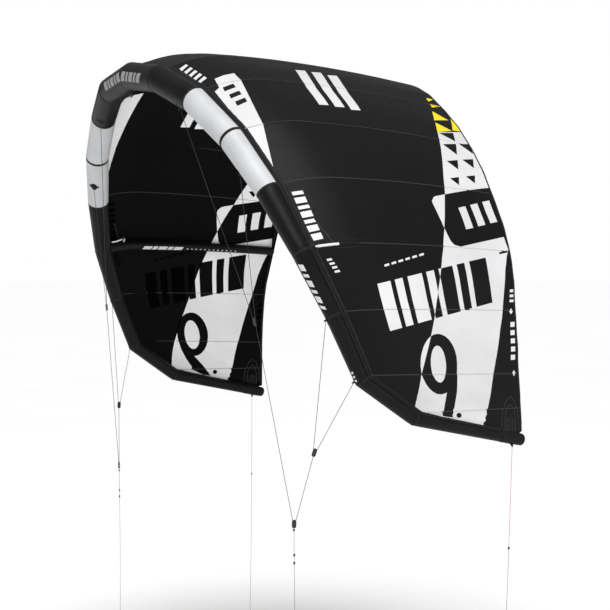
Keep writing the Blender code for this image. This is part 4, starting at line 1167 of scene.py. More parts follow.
def skin_colour(u, s, numeral):
    """Kind of cloth: sewn-in colours show on both faces, prints on the outer one."""
    def any_of(group):
        return any(inside(poly, u, s) for poly in group)

    if any_of(YELLOW_TRIS):
        return "yellow"
    white = inside(WHITE_REAR, u, s) and not any_of(BLACK_TRIS)
    white = white or any_of(WHITE_TONGUE)
    if any_of(WHITE_SIDE):
        white = True
    if any_of(LE_WEDGE):
        return "print_black" if any_of(WEDGE_BARS) else "white"
    if any_of(BAND_BARS) or any_of(TOP_BARS):
        return "white"
    bowl, eye, tail, dot = numeral
    if any_of(SIDE_BARS) or any_of(tail) or any_of(dot) or (any_of(bowl) and not any_of(eye)):
        return "black" if white else "print_white"
    if any_of(SIDE_DASHES) or any_of(EDGE_BARS) or any_of(REAR_DASHES):
        return "print_white"
    if any_of(WEDGE_BLACK):
        return "black" if white else "print_white"
    return "white" if white else "black"


U_SCALE, S_SCALE = 0.42, 1.60
LAST_U = 8.955


def skin_triangles(numeral):
    """Triangles of one wing whose edges follow every colour change."""
    points, edges = [], []

    def chain(loop_points, closed=True, step=0.022):
        ids = []
        count = len(loop_points)
        for i in range(count if closed else count - 1):
            a = Vector((loop_points[i][0] * U_SCALE, loop_points[i][1] * S_SCALE))
            b = Vector((loop_points[(i + 1) % count][0] * U_SCALE, loop_points[(i + 1) % count][1] * S_SCALE))
            n = max(1, int((b - a).length / step))
            for j in range(n):
                ids.append(len(points))
                points.append(a.lerp(b, j / n))
        if not closed:
            ids.append(len(points))
            points.append(Vector((loop_points[-1][0] * U_SCALE, loop_points[-1][1] * S_SCALE)))
        for a, b in zip(ids, ids[1:]):
            edges.append((a, b))
        if closed:
            edges.append((ids[-1], ids[0]))

    border = [(0.0, 0.0), (LAST_U, 0.0), (LAST_U, 1.0), (0.0, 1.0)]
    chain(border, True, 0.021)
    for group in ([WHITE_REAR], WHITE_TONGUE, WHITE_SIDE, EDGE_BARS, REAR_DASHES, YELLOW_TRIS, BLACK_TRIS, LE_WEDGE, WEDGE_BARS,
                  SIDE_BARS, SIDE_DASHES, TOP_BARS, BAND_BARS, WEDGE_BLACK, *numeral):
        for poly in group:
            chain([(max(0.0, min(LAST_U, u)), max(0.0, min(1.0, s))) for u, s in poly], True, 0.016)
    fixed = np.array([(p.x, p.y) for p in points])
    seg = np.array([(points[a].x, points[a].y, points[b].x, points[b].y) for a, b in edges])
    nu, ns = 150, 62
    grid = np.array([
        (LAST_U * U_SCALE * i / nu, S_SCALE * j / ns) for i in range(1, nu) for j in range(1, ns)
    ])
    a, b = seg[:, :2], seg[:, 2:]
    ab = b - a
    length2 = np.maximum((ab ** 2).sum(1), 1e-12)
    keep = np.ones(len(grid), bool)
    for i0 in range(0, len(grid), 500):
        g = grid[i0:i0 + 500]
        t = np.clip(((g[:, None] - a[None]) * ab[None]).sum(-1) / length2[None], 0, 1)
        d = np.sqrt((((a[None] + ab[None] * t[..., None]) - g[:, None]) ** 2).sum(-1)).min(1)
        keep[i0:i0 + 500] = d > 0.0065
    everything = points + [Vector((x, y)) for x, y in grid[keep]]
    verts, _, faces, *_ = geometry.delaunay_2d_cdt(everything, edges, [], 0, 1e-6)
    out_faces, kinds = [], []
    for f in faces:
        c = sum((verts[i] for i in f), Vector((0, 0))) / len(f)
        out_faces.append(tuple(f))
        kinds.append(skin_colour(c.x / U_SCALE, c.y / S_SCALE, numeral))
    return [(v.x / U_SCALE, v.y / S_SCALE) for v in verts], out_faces, kinds


CLOTH_T = 0.0007
# The numeral reads the right way round from outside on either wing.
NUMERALS = {1: (NINE_BOWL, NINE_EYE, NINE_TAIL, NINE_DOT), -1: (LEFT_BOWL, LEFT_EYE, LEFT_TAIL, LEFT_DOT)}
verts, faces, uvs, slots = [], [], [], []
for wing_side in (1, -1):
    flat, tris, kinds = skin_triangles(NUMERALS[wing_side])
    base = len(verts)
    for u, s in flat:
        u = min(max(u, 0.0), LAST_U)
        verts.append(cloth_at(u if wing_side > 0 else -u if u > 0 else 0.0, min(max(s, 0.0), 1.0)))
    for f, kind in zip(tris, kinds):
        f = f if wing_side > 0 else f[::-1]
        faces.append(tuple(base + i for i in f))
        for i in f:
            u, s = flat[i]
            uvs.append((u * 0.405 * wing_side, s * column(min(u, LAST_U))[4]))
        slots.append(KINDS.index(kind))
# The slots from 5 on dress the inner face; its black is a darker copy of the outer black, painted shade.
skin = make("canopy_cloth", verts, faces, [SKIN_BLACK, SKIN_WHITE, SKIN_YELLOW, PRINT_WHITE, PRINT_BLACK,
                                            SKIN_BLACK_INNER_SHADED, WHITE_INNER_PAINTED_LIGHT, SKIN_YELLOW, PRINT_BACK, WHITE_INNER_PAINTED_LIGHT], uvs, slots,
            stands_for=tuple(f"canopy_{part}_{wing}" for part in ("centre", "shoulder", "side", "tip") for wing in ("right", "left")))
bm = bmesh.new()
bm.from_mesh(skin.data)
bmesh.ops.remove_doubles(bm, verts=[v for v in bm.verts if abs(v.co.x) < 1e-5], dist=1e-5)
bmesh.ops.recalc_face_normals(bm, faces=bm.faces[:])
if sum(f.normal.z * f.calc_area() for f in bm.faces if f.calc_center_median().z > -0.3) < 0:
    bmesh.ops.reverse_faces(bm, faces=bm.faces[:])
bm.to_mesh(skin.data)
bm.free()
thick = skin.modifiers.new("thickness", "SOLIDIFY")
thick.thickness = CLOTH_T
thick.offset = 0.0
# The inner face takes a darker black (painted shade) and a brighter white (painted light) than the outer face.
thick.material_offset = 5


# --------------------------------------------------------------- seams and hems
def chordwise(u, s0, s1, steps, sign, lift):
    """Frames down the chord at seam u, on the outer (+1) or inner (-1) face."""
    out = []
    for i in range(steps + 1):
        s = lerp(s0, s1, i / steps)
        c = cloth_at(u, s)
        n = cloth_normal(u, s)
        t = (cloth_at(u, min(1.0, s + 0.01)) - cloth_at(u, max(0.0, s - 0.01))).normalized()
        a = t.cross(n).normalized()
        out.append((c + n * (sign * lift), n * sign, a))
    return out


def spanwise(s, u0, u1, steps, sign, lift, offset=0.0):
    """Frames along the span at a chord position, offset aft in metres."""
    out = []
    for i in range(steps + 1):
        u = lerp(u0, u1, i / steps)
        ss = s + offset / column(abs(u))[4]
        c = cloth_at(u, min(max(ss, 0.0), 1.0))
        n = cloth_normal(u, ss)
        a = (cloth_at(u, min(1.0, ss + 0.01)) - cloth_at(u, max(0.0, min(0.99, ss) - 0.01))).normalized()
        out.append((c + n * (sign * lift), n * sign, a))
    return out


def seam_strip(name, k, side, sign):
    """Seam tape: pale where it crosses white cloth, dark grey elsewhere."""
    steps = 160
    strip = ribbon(name, chordwise(float(k) * side, 0.004, 0.985, steps, sign, CLOTH_T / 2), 0.0058, 0.0006,
                   [SEAM_GREY, SEAM_PALE])
    pale = ("white", "print_white") if sign > 0 else ("white", "print_black")
    numeral = NUMERALS[1 if side > 0 else -1]
    tone = []
    for i in range(steps):
        s = lerp(0.004, 0.985, (i + 0.5) / steps)
        near = [skin_colour(min(k + d, LAST_U), s, numeral) for d in (-0.012, 0.012)]
        tone.append(1 if all(c in pale for c in near) else 0)
    for f in strip.data.polygons:
        if f.index < steps * 6:
            f.material_index = tone[f.index // 6]
    return strip


SEAM_PALE = stitched("seam_pale", (0.50, 0.50, 0.505), (0.60, 0.60, 0.605), (-0.0016, 0.0016))
for k in range(1, TIP):
    for wing_side in (1, -1):
        wing = "right" if wing_side > 0 else "left"
        for sign, face in ((1, "outer"), (-1, "inner")):
            seam_strip(f"canopy_seam_{k}_{wing}_{face}", k, wing_side, sign)
for sign, face in ((1, "outer"), (-1, "inner")):
    seam_strip(f"canopy_seam_0_{face}", 0, 1, sign)

# Folded hem round the trailing edge: one strip on each face.
for sign, face in ((1, "outer"), (-1, "inner")):
    frames = spanwise(1.0, -8.90, 8.90, 420, sign, CLOTH_T / 2, -0.0060)
    ribbon(f"trailing_hem_{face}", frames, 0.0120, 0.0008, [HEM_BLACK])

# Strips that join the skin to the tube, one over and one under the joint.
for sign, face in ((1, "outer"), (-1, "inner")):
    verts, faces, uvs = [], [], []
    us = [lerp(-8.78, 8.78, i / 440) for i in range(441)]
    for u in us:
        au = abs(u)
        chord = column(au)[4]
        a0, a1 = ATTACH - sign * math.radians(16), ATTACH - sign * math.radians(5)
        p0 = tube_at(au, a0, 0.0002 + puff(u, a0))
        p1 = tube_at(au, a0, 0.0010 + puff(u, a0))
        p2 = tube_at(au, a1, 0.0026 + puff(u, a1))
        n = normal_fast(au, min(0.5, 0.012 / chord))

        def on(x, y):
            s = min(0.9, x / chord)
            return skin_fast(au, s) + normal_fast(au, s) * (billow(au, s) + sign * y)

        row = [p0, p1, p2, on(0.010, 0.0021), on(0.0255, 0.0013), on(0.0268, 0.0004), on(0.010, 0.0007)]
        verts += [p if u >= 0 else flip(p) for p in row]
    across = [-0.013, -0.012, -0.006, 0.002, 0.012, 0.0125, 0.002]
    n = 7
    for i in range(len(us) - 1):
        for j in range(n):
            k = (j + 1) % n
            faces.append((i * n + j, i * n + k, (i + 1) * n + k, (i + 1) * n + j))
            x0, x1 = arc_at(us[i]), arc_at(us[i + 1])
            uvs += [(x0, across[j]), (x0, across[k]), (x1, across[k]), (x1, across[j])]
    faces.append(tuple(range(n))[::-1])
    uvs += [(0.0, across[j]) for j in range(n)][::-1]
    last = (len(us) - 1) * n
    faces.append(tuple(last + j for j in range(n)))
    uvs += [(0.0, across[j]) for j in range(n)]
    outward(make(f"leading_joint_{face}", verts, faces, [TAPE_BLACK], uvs, sharp=60))

# Corner points of a 120 by 24 grid over the skin of the right wing; nothing is made from them.
for i in range(120):
    for j in range(24):
        u0, u1 = LAST_U * i / 120, LAST_U * (i + 1) / 120
        s0, s1 = j / 24, (j + 1) / 24
        a, b, c, d = skin_fast(u0, s0), skin_fast(u1, s0), skin_fast(u1, s1), skin_fast(u0, s1)


# ------------------------------------------------- seam tapes round the big tube
def tube_tape(name, u, width, mat, proud=0.0011, around=64, side=1):
    """Band round a seam of the tube, following both mitred halves."""
    rows = []
    k = min(int(u), TIP - 1)
    for offset in (-0.5, -0.42, 0.0, 0.42, 0.5):
        du = offset * width / (AXIS[k + 1] - AXIS[k]).length
        uu = u + du
        extra = -0.0014 if abs(offset) == 0.5 else proud
        rows.append([
            tube_at(uu, 2 * math.pi * i / around, extra + puff(uu, 2 * math.pi * i / around) * 0.6)
            for i in range(around)
        ])
    verts, faces, uvs = [], [], []
    for r in rows:
        verts += [p if side > 0 else flip(p) for p in r]
    inner = [tube_at(u, 2 * math.pi * i / around, -0.004) for i in range(around)]
    verts += [p if side > 0 else flip(p) for p in inner]
    order = list(range(6))
    across = [-0.5, -0.42, 0.0, 0.42, 0.5, 0.0]
    girth = 2 * math.pi * radius_at(u)
    for q in range(6):
        a, b = order[q], order[(q + 1) % 6]
        for i in range(around):
            j = (i + 1) % around
            faces.append((a * around + i, b * around + i, b * around + j, a * around + j))
            x0, x1 = i / around * girth, (i + 1) / around * girth
            y0, y1 = across[q] * width, across[(q + 1) % 6] * width
            uvs += [(x0, y0), (x0, y1), (x1, y1), (x1, y0)]
    return outward(make(name, verts, faces, [mat], uvs, sharp=60))


for k in range(1, TIP):
    for side, wing in ((1, "right"), (-1, "left")):
        tube_tape(f"tube_tape_{k}_{wing}", float(k), {2: 0.018, 3: 0.022, 4: 0.018}.get(k, 0.014), HEM_BLACK, side=side)


# ------------------------------------------------------------------- the struts
STRUT_AROUND = 44


def strut_section(u, s, extra, along=0.0, scale=1.0, around=STRUT_AROUND):
    c, t, up, side, r = strut_frame(u, s)
    rr = (r + extra) * scale
    return [
        c + t * along + up * (rr * math.cos(2 * math.pi * i / around)) + side * (rr * math.sin(2 * math.pi * i / around))
        for i in range(around)
    ]


for wing, u, wing_side in (("centre", 0.0, 1), ("right", float(STRUT_STATION), 1), ("left", float(STRUT_STATION), -1)):
    put = (lambda ps: ps) if wing_side > 0 else (lambda ps: [flip(p) for p in ps])
    rings, lengths = [], []
    last = STRUT_TO - 0.01
    steps = 46
    for i in range(steps + 1):
        f = i / steps
        s = lerp(STRUT_FROM, last, f)
        seam = min(abs(s - x) for x in (0.34, 0.70)) * 1.6
        waist = -0.0012 * math.exp(-seam / 0.012)
        c, t, up, side_dir, r = strut_frame(u, s)
        ring_points = strut_section(u, s, waist)
        wave = [0.0006 * math.sin(11 * 2 * math.pi * j / STRUT_AROUND) * math.exp(-min(f, 1 - f) / 0.04) for j in range(STRUT_AROUND)]
        ring_points = [p + (p - c).normalized() * (w if j not in range(0, 3) else 0.0) for j, (p, w) in enumerate(zip(ring_points, wave))]
        rings.append(put(ring_points))
        lengths.append(s * 1.7)
    for deg in (14, 30, 46, 62, 76):
        a = math.radians(deg)
        rings.append(put(strut_section(u, last, 0.0, 0.0245 * math.sin(a), math.cos(a) ** 0.8)))
        lengths.append(last * 1.7 + 0.0004 * deg)
    o = loft(f"strut_{wing}_cloth", rings, lengths, [TUBE_BLACK], stands_for=(f"strut_{wing}",), poles=(True, True))

    # Cuff that carries the strut onto the leading-edge tube.
    first, second = strut_section(u, 0.105, 0.0011), strut_section(u, 0.060, 0.0014)
    landing = []
    axis_dir = (mitre_normal(int(u)) if u else Vector((1, 0, 0))).normalized()
    c, t, up, side_dir, r = strut_frame(u, 0.060)
    for p in second:
        q, n_steps = p.copy(), 0
        while n_steps < 220:
            rel = q - axis_at(u)
            off = (rel - axis_dir * rel.dot(axis_dir)).length
            if off <= radius_at(u) + 0.0015:
                break
            q -= t * 0.001
            n_steps += 1
        spread = q - c
        spread = spread - t * spread.dot(t)
        landing.append(q + spread * 0.10)
    mid = [lerp(a, b, 0.5) + (lerp(a, b, 0.5) - c).normalized() * 0.0005 for a, b in zip(second, landing)]
    inner = [lerp(p, sum(landing, Vector()) / len(landing), 0.12) for p in landing]
    shell_in = strut_section(u, 0.105, 0.0003)
    rings = [put(r_) for r_ in (shell_in, first, second, mid, landing, inner)]
    o = loft(f"strut_cuff_{wing}", rings, [0.0, 0.001, 0.045, 0.07, 0.10, 0.11], [CUFF_BLACK], sharp=50)

    # Tapes that sew the strut to the underside of the skin.
    for sign, label in ((1, "a"), (-1, "b")):
        frames = []
        for i in range(61):
            s = lerp(0.10, 0.972, i / 60)
            c, t, up, side_dir, r = strut_frame(u, s)
            ang = math.radians(22) * sign
            foot = c + (up * math.cos(ang) + side_dir * math.sin(ang)) * (r + 0.0006)
            top = skin_fast(abs(u), s) - normal_fast(abs(u), s) * (CLOTH_T / 2 + 0.0004) + side_dir * (sign * (r * 0.375 + 0.012))
            across = (top - foot)
            centre = foot + across / 2
            width = across.length
            a = across.normalized()
            n = t.cross(a).normalized()
            if n.dot(up) > 0:
                n = -n
            frames.append((centre, n, a))
        o = ribbon(f"strut_tape_{wing}_{label}", frames, 0.0135, 0.0007, [HEM_BLACK], side=wing_side)

    # Bands round the strut where its cloth is seamed.
    for count, s in enumerate((0.125, 0.34, 0.70, 0.955)):
        outer_rows = []
        for ds, extra in ((-0.0040, -0.001), (-0.0034, 0.0008), (0.0034, 0.0008), (0.0040, -0.001)):
            outer_rows.append(put(strut_section(u, s + ds, extra, 0.0, 1.0, 40)))
        outer_rows.append(put(strut_section(u, s, -0.0025, 0.0, 1.0, 40)))
        outer_rows.append([p.copy() for p in outer_rows[0]])
        o = loft(f"strut_band_{wing}_{count}", outer_rows[:5], [-0.006, -0.005, 0.005, 0.006, 0.0], [HEM_BLACK], sharp=50)


# --------------------------------------------------- plain marks on the tubes
def tube_mark(name, u0, u1, a0, a1, slant, side, mat=MARK_WHITE):
    """Printed bar on the tube, a skin 0.3 mm thick: angles in degrees."""
    nu, na = 6, 8
    verts, faces, uvs = [], [], []
    for layer in (0.00045, -0.0006):
        for i in range(nu + 1):
            for j in range(na + 1):
                f, h = i / nu, j / na
                u = lerp(u0, u1, f) + slant * (h - 0.5)
                a = math.radians(lerp(a0, a1, h))
                p = tube_at(u, a, puff(u, a) + layer + 0.0004)
                verts.append(p if side > 0 else flip(p))
                uvs.append((u * 0.4, lerp(a0, a1, h) * 0.0014))
    half = (nu + 1) * (na + 1)
    rows = na + 1
    for i in range(nu):
        for j in range(na):
            a = i * rows + j
            faces.append((a, a + 1, a + rows + 1, a + rows))
            faces.append((half + a, half + a + rows, half + a + rows + 1, half + a + 1))
    rim = [i * rows for i in range(nu + 1)] + [nu * rows + j for j in range(1, na + 1)]
    rim += [i * rows + na for i in range(nu - 1, -1, -1)] + [j for j in range(na - 1, 0, -1)]
    for a, b in zip(rim, rim[1:] + rim[:1]):
        faces.append((a, b, half + b, half + a))
    corner_uvs = [uvs[i] for f in faces for i in f]
    return outward(make(name, verts, faces, [mat], corner_uvs, sharp=50))


for side, wing in ((1, "right"), (-1, "left")):
    for i, (u0, w) in enumerate(((0.04, 0.13), (0.21, 0.07), (0.32, 0.13), (0.49, 0.07), (0.60, 0.13))):
        tube_mark(f"tube_mark_centre_{i}_{wing}", u0, u0 + w, -112, -72, 0.05, side, MARK_GREY)
    for i, (u0, w) in enumerate(((5.16, 0.10), (5.31, 0.05), (5.41, 0.10), (5.56, 0.05), (5.66, 0.10), (5.81, 0.05))):
        tube_mark(f"tube_mark_side_{i}_{wing}", u0, u0 + w, -106, -70, 0.05, side)
    for i in range(3):
        tube_mark(f"tube_mark_corner_{i}_{wing}", 6.80 + 0.06 * i, 6.83 + 0.06 * i, -104, -84, 0.0, side)


def strut_mark(name, s0, s1, a0, a1, slant, side):
    """Printed bar on an outer strut, 0.3 mm thick."""
    nu, na = 5, 6
    verts, faces, uvs = [], [], []
    for layer in (0.0009, -0.0006):
        for i in range(nu + 1):
            for j in range(na + 1):
                h = j / na
                s = lerp(s0, s1, i / nu) + slant * (h - 0.5)
                c, t, up, across, r = strut_frame(float(STRUT_STATION), s)
                a = math.radians(lerp(a0, a1, h))
                p = c + (up * math.cos(a) + across * math.sin(a)) * (r + layer)
                verts.append(p if side > 0 else flip(p))
                uvs.append((s * 1.4, lerp(a0, a1, h) * 0.0006))
    half, rows = (nu + 1) * (na + 1), na + 1
    for i in range(nu):
        for j in range(na):
            a = i * rows + j
            faces.append((a, a + 1, a + rows + 1, a + rows))
            faces.append((half + a, half + a + rows, half + a + rows + 1, half + a + 1))
    rim = [i * rows for i in range(nu + 1)] + [nu * rows + j for j in range(1, na + 1)]
    rim += [i * rows + na for i in range(nu - 1, -1, -1)] + [j for j in range(na - 1, 0, -1)]
    for a, b in zip(rim, rim[1:] + rim[:1]):
        faces.append((a, b, half + b, half + a))
    return outward(make(name, verts, faces, [MARK_WHITE], [uvs[i] for f in faces for i in f], sharp=50))


for side, wing in ((1, "right"), (-1, "left")):
    for i, (s0, w) in enumerate(((0.215, 0.050), (0.273, 0.026), (0.307, 0.050), (0.365, 0.026), (0.399, 0.050))):
        strut_mark(f"strut_mark_{i}_{wing}", s0, s0 + w, 142, 190, 0.012, side)
    for i in range(12):
        s0 = 0.475 + 0.026 * i
        strut_mark(f"strut_dash_{i}_{wing}", s0, s0 + 0.009, 160, 172, 0.0, side)


def surface_path(name, group, width, thick, mat):
    """Narrow raised lines of stitching on the skin along given routes, on both faces."""
    for side, wing in ((1, "right"), (-1, "left")):
        for sign, face in ((1, "outer"), (-1, "inner")):
            for number, route in enumerate(group):
                frames = []
                pts = [cloth_at(u * side, min(1.0, max(0.0, s))) for u, s in route]
                for i, (u, s) in enumerate(route):
                    n = cloth_normal(u * side, min(0.995, max(0.005, s)))
                    t = (pts[min(i + 1, len(pts) - 1)] - pts[max(i - 1, 0)]).normalized()
                    frames.append((pts[i] + n * (sign * CLOTH_T / 2), n * sign, t.cross(n).normalized()))
                ribbon(f"{name}_{number}_{wing}_{face}", frames, width, thick, [mat])


for side, wing in ((1, "right"), (-1, "left")):
    for label, s0, s1, mat in (("white", 0.008, 0.112, MARK_WHITE), ("black", 0.114, 0.200, CUFF_BLACK)):
        frames = chordwise(float(STRUT_STATION) * side, s0, s1, 24, 1, 0.0006)
        taper = []
        for i, (c, n, a) in enumerate(frames):
            f = i / 24
            f = min(1.0, math.sqrt(max(0.0, 1 - (1 - min(1.0, f / 0.08)) ** 2)) + 0.25) if label == "white" else \
                min(1.0, math.sqrt(max(0.0, 1 - (1 - min(1.0, (1 - f) / 0.10)) ** 2)) + 0.25)
            taper.append((c, n, a * f))
        ribbon(f"strut_head_{label}_{wing}", taper, 0.0150, 0.0026, [mat], bevel=0.5)

surface_path("tip_arch", TIP_ARCHES, 0.0050, 0.0007, PATCH_BLACK)
surface_path("tip_rib", TIP_RIBS, 0.0040, 0.0009, PATCH_BLACK)
surface_path("edge_seam", PATCH_LINES, 0.0050, 0.0006, SEAM_GREY)


# ------------------------------------------------------------ bridle and pulleys
anchor_a = [rope_anchor(u, SHEAVE_A) for u in LOOP_A]
anchor_b = [rope_anchor(u, SHEAVE_B) for u in LOOP_B]
pulley_a = Pulley(SHEAVE_A, *anchor_a)
pulley_b = Pulley(SHEAVE_B, *anchor_b)
pulley_c = Pulley(SHEAVE_C, pulley_a.becket, pulley_b.becket)


def dense(points, n=6):
    """More points on long straight runs, so the rope has even rings."""
    out = [points[0]]
    for a, b in zip(points, points[1:]):
        count = n if (b - a).length > 0.02 else 1
        out += [lerp(a, b, (i + 1) / count) for i in range(count)]
    return out


for side, wing in ((1, "right"), (-1, "left")):
    for key, pulley in (("a", pulley_a), ("b", pulley_b), ("c", pulley_c)):
        o = curve_piece(f"bridle_{key}_{wing}_rope", dense(pulley.route()), ROPE_R, side, False, 12)
        o.data.materials.append(ROPE)
        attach(o, "root")
        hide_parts(f"bridle_{key}_{wing}")

    # Webbing tabs on the tube, with the rope hitched to each.
    for key, u, anchor, target in (
        ("a1", LOOP_A[0], anchor_a[0], SHEAVE_A), ("a2", LOOP_A[1], anchor_a[1], SHEAVE_A),
        ("b1", LOOP_B[0], anchor_b[0], SHEAVE_B), ("b2", LOOP_B[1], anchor_b[1], SHEAVE_B),
    ):
        k = min(int(u), TIP - 1)
        c = axis_at(u)
        d = (anchor - c).normalized()
        t = SEG_DIR[k]
        d = (d - t * d.dot(t)).normalized()
        roll = t.cross(d).normalized()
        r = radius_at(u)
        frames = []
        for i in range(25):  # over the tube from one side of the rope to the other
            ang = math.radians(lerp(-26, 26, i / 24))
            direction = d * math.cos(ang) + roll * math.sin(ang)
            frames.append((c + direction * (r + 0.0018), direction, t))
        a = ribbon(f"bridle_tab_{key}_{wing}", frames, 0.018, 0.0012, [WEB_BLACK], side=side)
        loop = []
        for i in range(15):
            ang = math.pi * i / 14
            p = c + d * (r + 0.0028 + 0.0085 * math.sin(ang)) + roll * (0.0062 * math.cos(ang))
            nn = (d * math.sin(ang) + roll * math.cos(ang)).normalized()
            loop.append((p, nn, t))
        ribbon(f"bridle_eye_{key}_{wing}", loop, 0.0085, 0.0009, [WEB_BLACK], side=side)
        verts, faces, uvs = [], [], []
        across_n, around_n = 7, 30
        for layer in (0.0011, -0.0012):
            for i in range(across_n + 1):
                for j in range(around_n):
                    w = 2 * math.pi * j / around_n
                    rr = 0.023 * i / across_n
                    dx, da = rr * math.cos(w) * 1.25, rr * math.sin(w) / r
                    k0 = min(int(u), TIP - 1)
                    f0 = (u - k0) * (AXIS[k0 + 1] - AXIS[k0]).length + dx
                    uu = k0 + f0 / (AXIS[k0 + 1] - AXIS[k0]).length
                    n_, e_ = FRAMES[k0]
                    a0 = math.atan2(d.dot(e_), d.dot(n_))
                    p = tube_at(uu, a0 + da, puff(uu, a0 + da) + layer * (1.0 if layer < 0 else 1.0 - 0.5 * (i == across_n)))
                    verts.append(p if side > 0 else flip(p))
                    uvs.append((rr, w * 0.01))
        half = (across_n + 1) * around_n
        for i in range(across_n):
            for j in range(around_n):
                m = (j + 1) % around_n
                q = (i * around_n + j, i * around_n + m, (i + 1) * around_n + m, (i + 1) * around_n + j)
                faces.append(q)
                faces.append(tuple(half + x for x in q)[::-1])
        for j in range(around_n):
            m = (j + 1) % around_n
            e0 = across_n * around_n
            faces.append((e0 + j, e0 + m, half + e0 + m, half + e0 + j))
        outward(make(f"bridle_patch_{key}_{wing}", verts, faces, [CUFF_BLACK], [uvs[i] for f in faces for i in f],
                     sharp=50))
        o = knot(f"bridle_hitch_{key}_{wing}", anchor + d * 0.0075, side, d, 0.0019, 0.0015)
        o.data.materials.append(ROPE)
        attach(o, "root")

    # The tip's rear tab, from which the rear line hangs.
    c = REAR_START.copy()
    foot = axis_at(8.90)
    frames = []
    base = Vector((foot.x, REAR_START.y, REAR_START.z + 0.020))
    for i in range(17):
        ang = math.pi * i / 16
        p = base + Vector((0.008 * math.cos(ang), 0.0, -0.020 * math.sin(ang)))
        nn = Vector((math.cos(ang), 0.0, -math.sin(ang)))
        p.x = p.x + (REAR_START.x - foot.x) * math.sin(ang)
        frames.append((p, nn, Vector((0, 1, 0))))
    ribbon(f"tip_tab_{wing}", frames, 0.012, 0.0011, [WEB_BLACK], side=side)
    o = knot(f"tip_hitch_{wing}", REAR_START + Vector((0, 0, 0.0015)), side)
    o.data.materials.append(KNOT)
    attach(o, "root")

    # Pulleys, sheaves and fittings keep their modelled shape under better finishes.
    for key in "abc":
        for node, mat, width in ((f"pulley_{key}_{wing}", PLASTIC, 0.0005), (f"sheave_{key}_{wing}", STEEL, 0.00015)):
            o = bpy.data.objects[node]
            for s_ in o.material_slots:
                s_.material = mat
            b = o.modifiers.new("edges", "BEVEL")
            b.width = width
            b.segments = 2
            b.limit_method = "ANGLE"
            b.angle_limit = math.radians(40)

# ---------------------------------------------------------------- hoses, valves
for wing, u, side in (("centre", 0, 1), ("right", STRUT_STATION, 1), ("left", STRUT_STATION, -1)):
    points = hose_points(u, side)
    fine_points = []
    for i in range(41):
        x = i / 40 * (len(points) - 1)
        k = min(int(x), len(points) - 2)
        f = x - k
        p0, p1, p2, p3 = points[max(k - 1, 0)], points[k], points[k + 1], points[min(k + 2, len(points) - 1)]
        fine_points.append(0.5 * (2 * p1 + (p2 - p0) * f + (2 * p0 - 5 * p1 + 4 * p2 - p3) * f * f
                                  + (3 * p1 - p0 - 3 * p2 + p3) * f * f * f))
    o = curve_piece(f"air_hose_{wing}_tube", fine_points, 0.0055, side, False, 24)
    o.data.materials.append(HOSE)
    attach(o, "root")
    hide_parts(f"air_hose_{wing}")
    for end, (p, q) in enumerate(((fine_points[0], fine_points[2]), (fine_points[-1], fine_points[-3]))):
        d = (q - p).normalized()
        x = d.orthogonal().normalized()
        y = d.cross(x)
        rows, lengths = [], []
        for r_, h in ((0.0060, 0.0), (0.0165, -0.0006), (0.0170, 0.0004), (0.0155, 0.0012), (0.0085, 0.0022), (0.0068, 0.0052), (0.0060, 0.0056)):
            ring_points = []
            for i in range(32):
                w = 2 * math.pi * i / 32
                q_ = p + d * h + (x * math.cos(w) + y * math.sin(w)) * r_
                ring_points.append(q_ if side > 0 else flip(q_))
            rows.append(ring_points)
            lengths.append(h)
        loft(f"hose_collar_{wing}_{end}", rows + [rows[0]], lengths + [0.0], [CUFF_BLACK], sharp=50)
    o = bpy.data.objects[f"hose_clip_{wing}"]
    for s_ in o.material_slots:
        s_.material = CLIP
    b = o.modifiers.new("edges", "BEVEL")
    b.width, b.segments, b.limit_method = 0.0010, 3, "ANGLE"

for use in ("inflate", "dump"):
    for node, mat in ((f"{use}_valve", VALVE), (f"{use}_valve_cap", VALVE)):
        o = bpy.data.objects[node]
        for s_ in o.material_slots:
            s_.material = mat
        b = o.modifiers.new("edges", "BEVEL")
        b.width, b.segments, b.limit_method = 0.0007, 3, "ANGLE"

# Materials of the parts inside, which are never seen.
FILM = silicone("bladder_film", (0.60, 0.66, 0.68))
for node in ("le_bladder", "strut_bladder_centre", "strut_bladder_right", "strut_bladder_left"):
    for s_ in bpy.data.objects[node].material_slots:
        s_.material = FILM

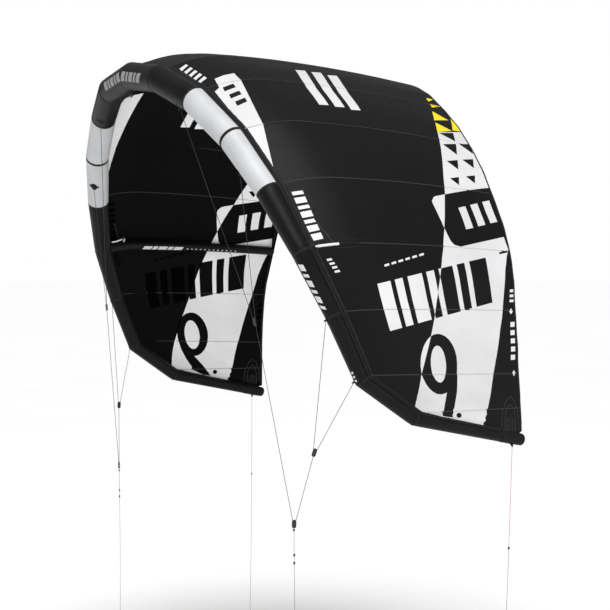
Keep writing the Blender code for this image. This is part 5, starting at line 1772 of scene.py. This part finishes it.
# ------------------------------------------------------------- floor and lights
def studio_floor():
    bm = bmesh.new()
    rings = []
    for r in (0.5, 2, 4, 8, 14, 22, 34, 50, 80, 120):
        rings.append([bm.verts.new((r * math.cos(2 * math.pi * i / 64), 0.9 + r * math.sin(2 * math.pi * i / 64), -3.935)) for i in range(64)])
    for a, b in zip(rings, rings[1:]):
        for i in range(64):
            j = (i + 1) % 64
            bm.faces.new((a[i], b[i], b[j], a[j]))
    bm.faces.new(rings[0])
    bmesh.ops.recalc_face_normals(bm, faces=bm.faces[:])
    mesh = bpy.data.meshes.new("studio_floor")
    bm.to_mesh(mesh)
    bm.free()
    if mesh.polygons[0].normal.z < 0:
        mesh.flip_normals()
    g = Graph("floor_paint", specular=0.15)
    v = g.object_vector()
    cloud = g.noise(v, 0.6, 3.0)
    base = g.mix(cloud, (0.93, 0.93, 0.93), (0.965, 0.965, 0.965))
    g.surface(base, g.math("MULTIPLY_ADD", cloud, 0.1, 0.75))
    mesh.materials.append(g.material)
    o = bpy.data.objects.new("studio_floor", mesh)
    COLLECTION.objects.link(o)


studio_floor()


def area_light(name, location, target, size, power):
    data = bpy.data.lights.new(name, "AREA")
    data.shape = "SQUARE"
    data.size = size
    data.energy = power
    o = bpy.data.objects.new(name, data)
    o.location = location
    d = Vector(target) - Vector(location)
    o.rotation_euler = d.to_track_quat("-Z", "Y").to_euler()
    COLLECTION.objects.link(o)


CENTRE = (0.3, 0.9, -1.2)
sun_data = bpy.data.lights.new("overhead", "SUN")
sun_data.energy = 2.5
sun_data.angle = math.radians(38)
sun = bpy.data.objects.new("overhead", sun_data)
sun.rotation_euler = (Vector(CENTRE) - Vector((4.0, -1.2, 9.0))).to_track_quat("-Z", "Y").to_euler()
COLLECTION.objects.link(sun)
area_light("key", (7.5, -4.0, 5.0), CENTRE, 3.5, 260)
area_light("fill", (9.5, 6.5, 0.5), CENTRE, 4.0, 120)
world = bpy.data.worlds.new("studio")
world.use_nodes = True
tree = world.node_tree
background = tree.nodes["Background"]
background.inputs[0].default_value = (1.0, 1.0, 1.0, 1.0)
background.inputs[1].default_value = 0.34
seen = tree.nodes.new("ShaderNodeBackground")
seen.inputs[0].default_value = (1.0, 1.0, 1.0, 1.0)
seen.inputs[1].default_value = 1.0
ray = tree.nodes.new("ShaderNodeLightPath")
blend_node = tree.nodes.new("ShaderNodeMixShader")
tree.links.new(ray.outputs["Is Camera Ray"], blend_node.inputs[0])
tree.links.new(background.outputs[0], blend_node.inputs[1])
tree.links.new(seen.outputs[0], blend_node.inputs[2])
tree.links.new(blend_node.outputs[0], tree.nodes["World Output"].inputs[0])
bpy.context.scene.world = world
bpy.context.scene.view_settings.view_transform = "Standard"
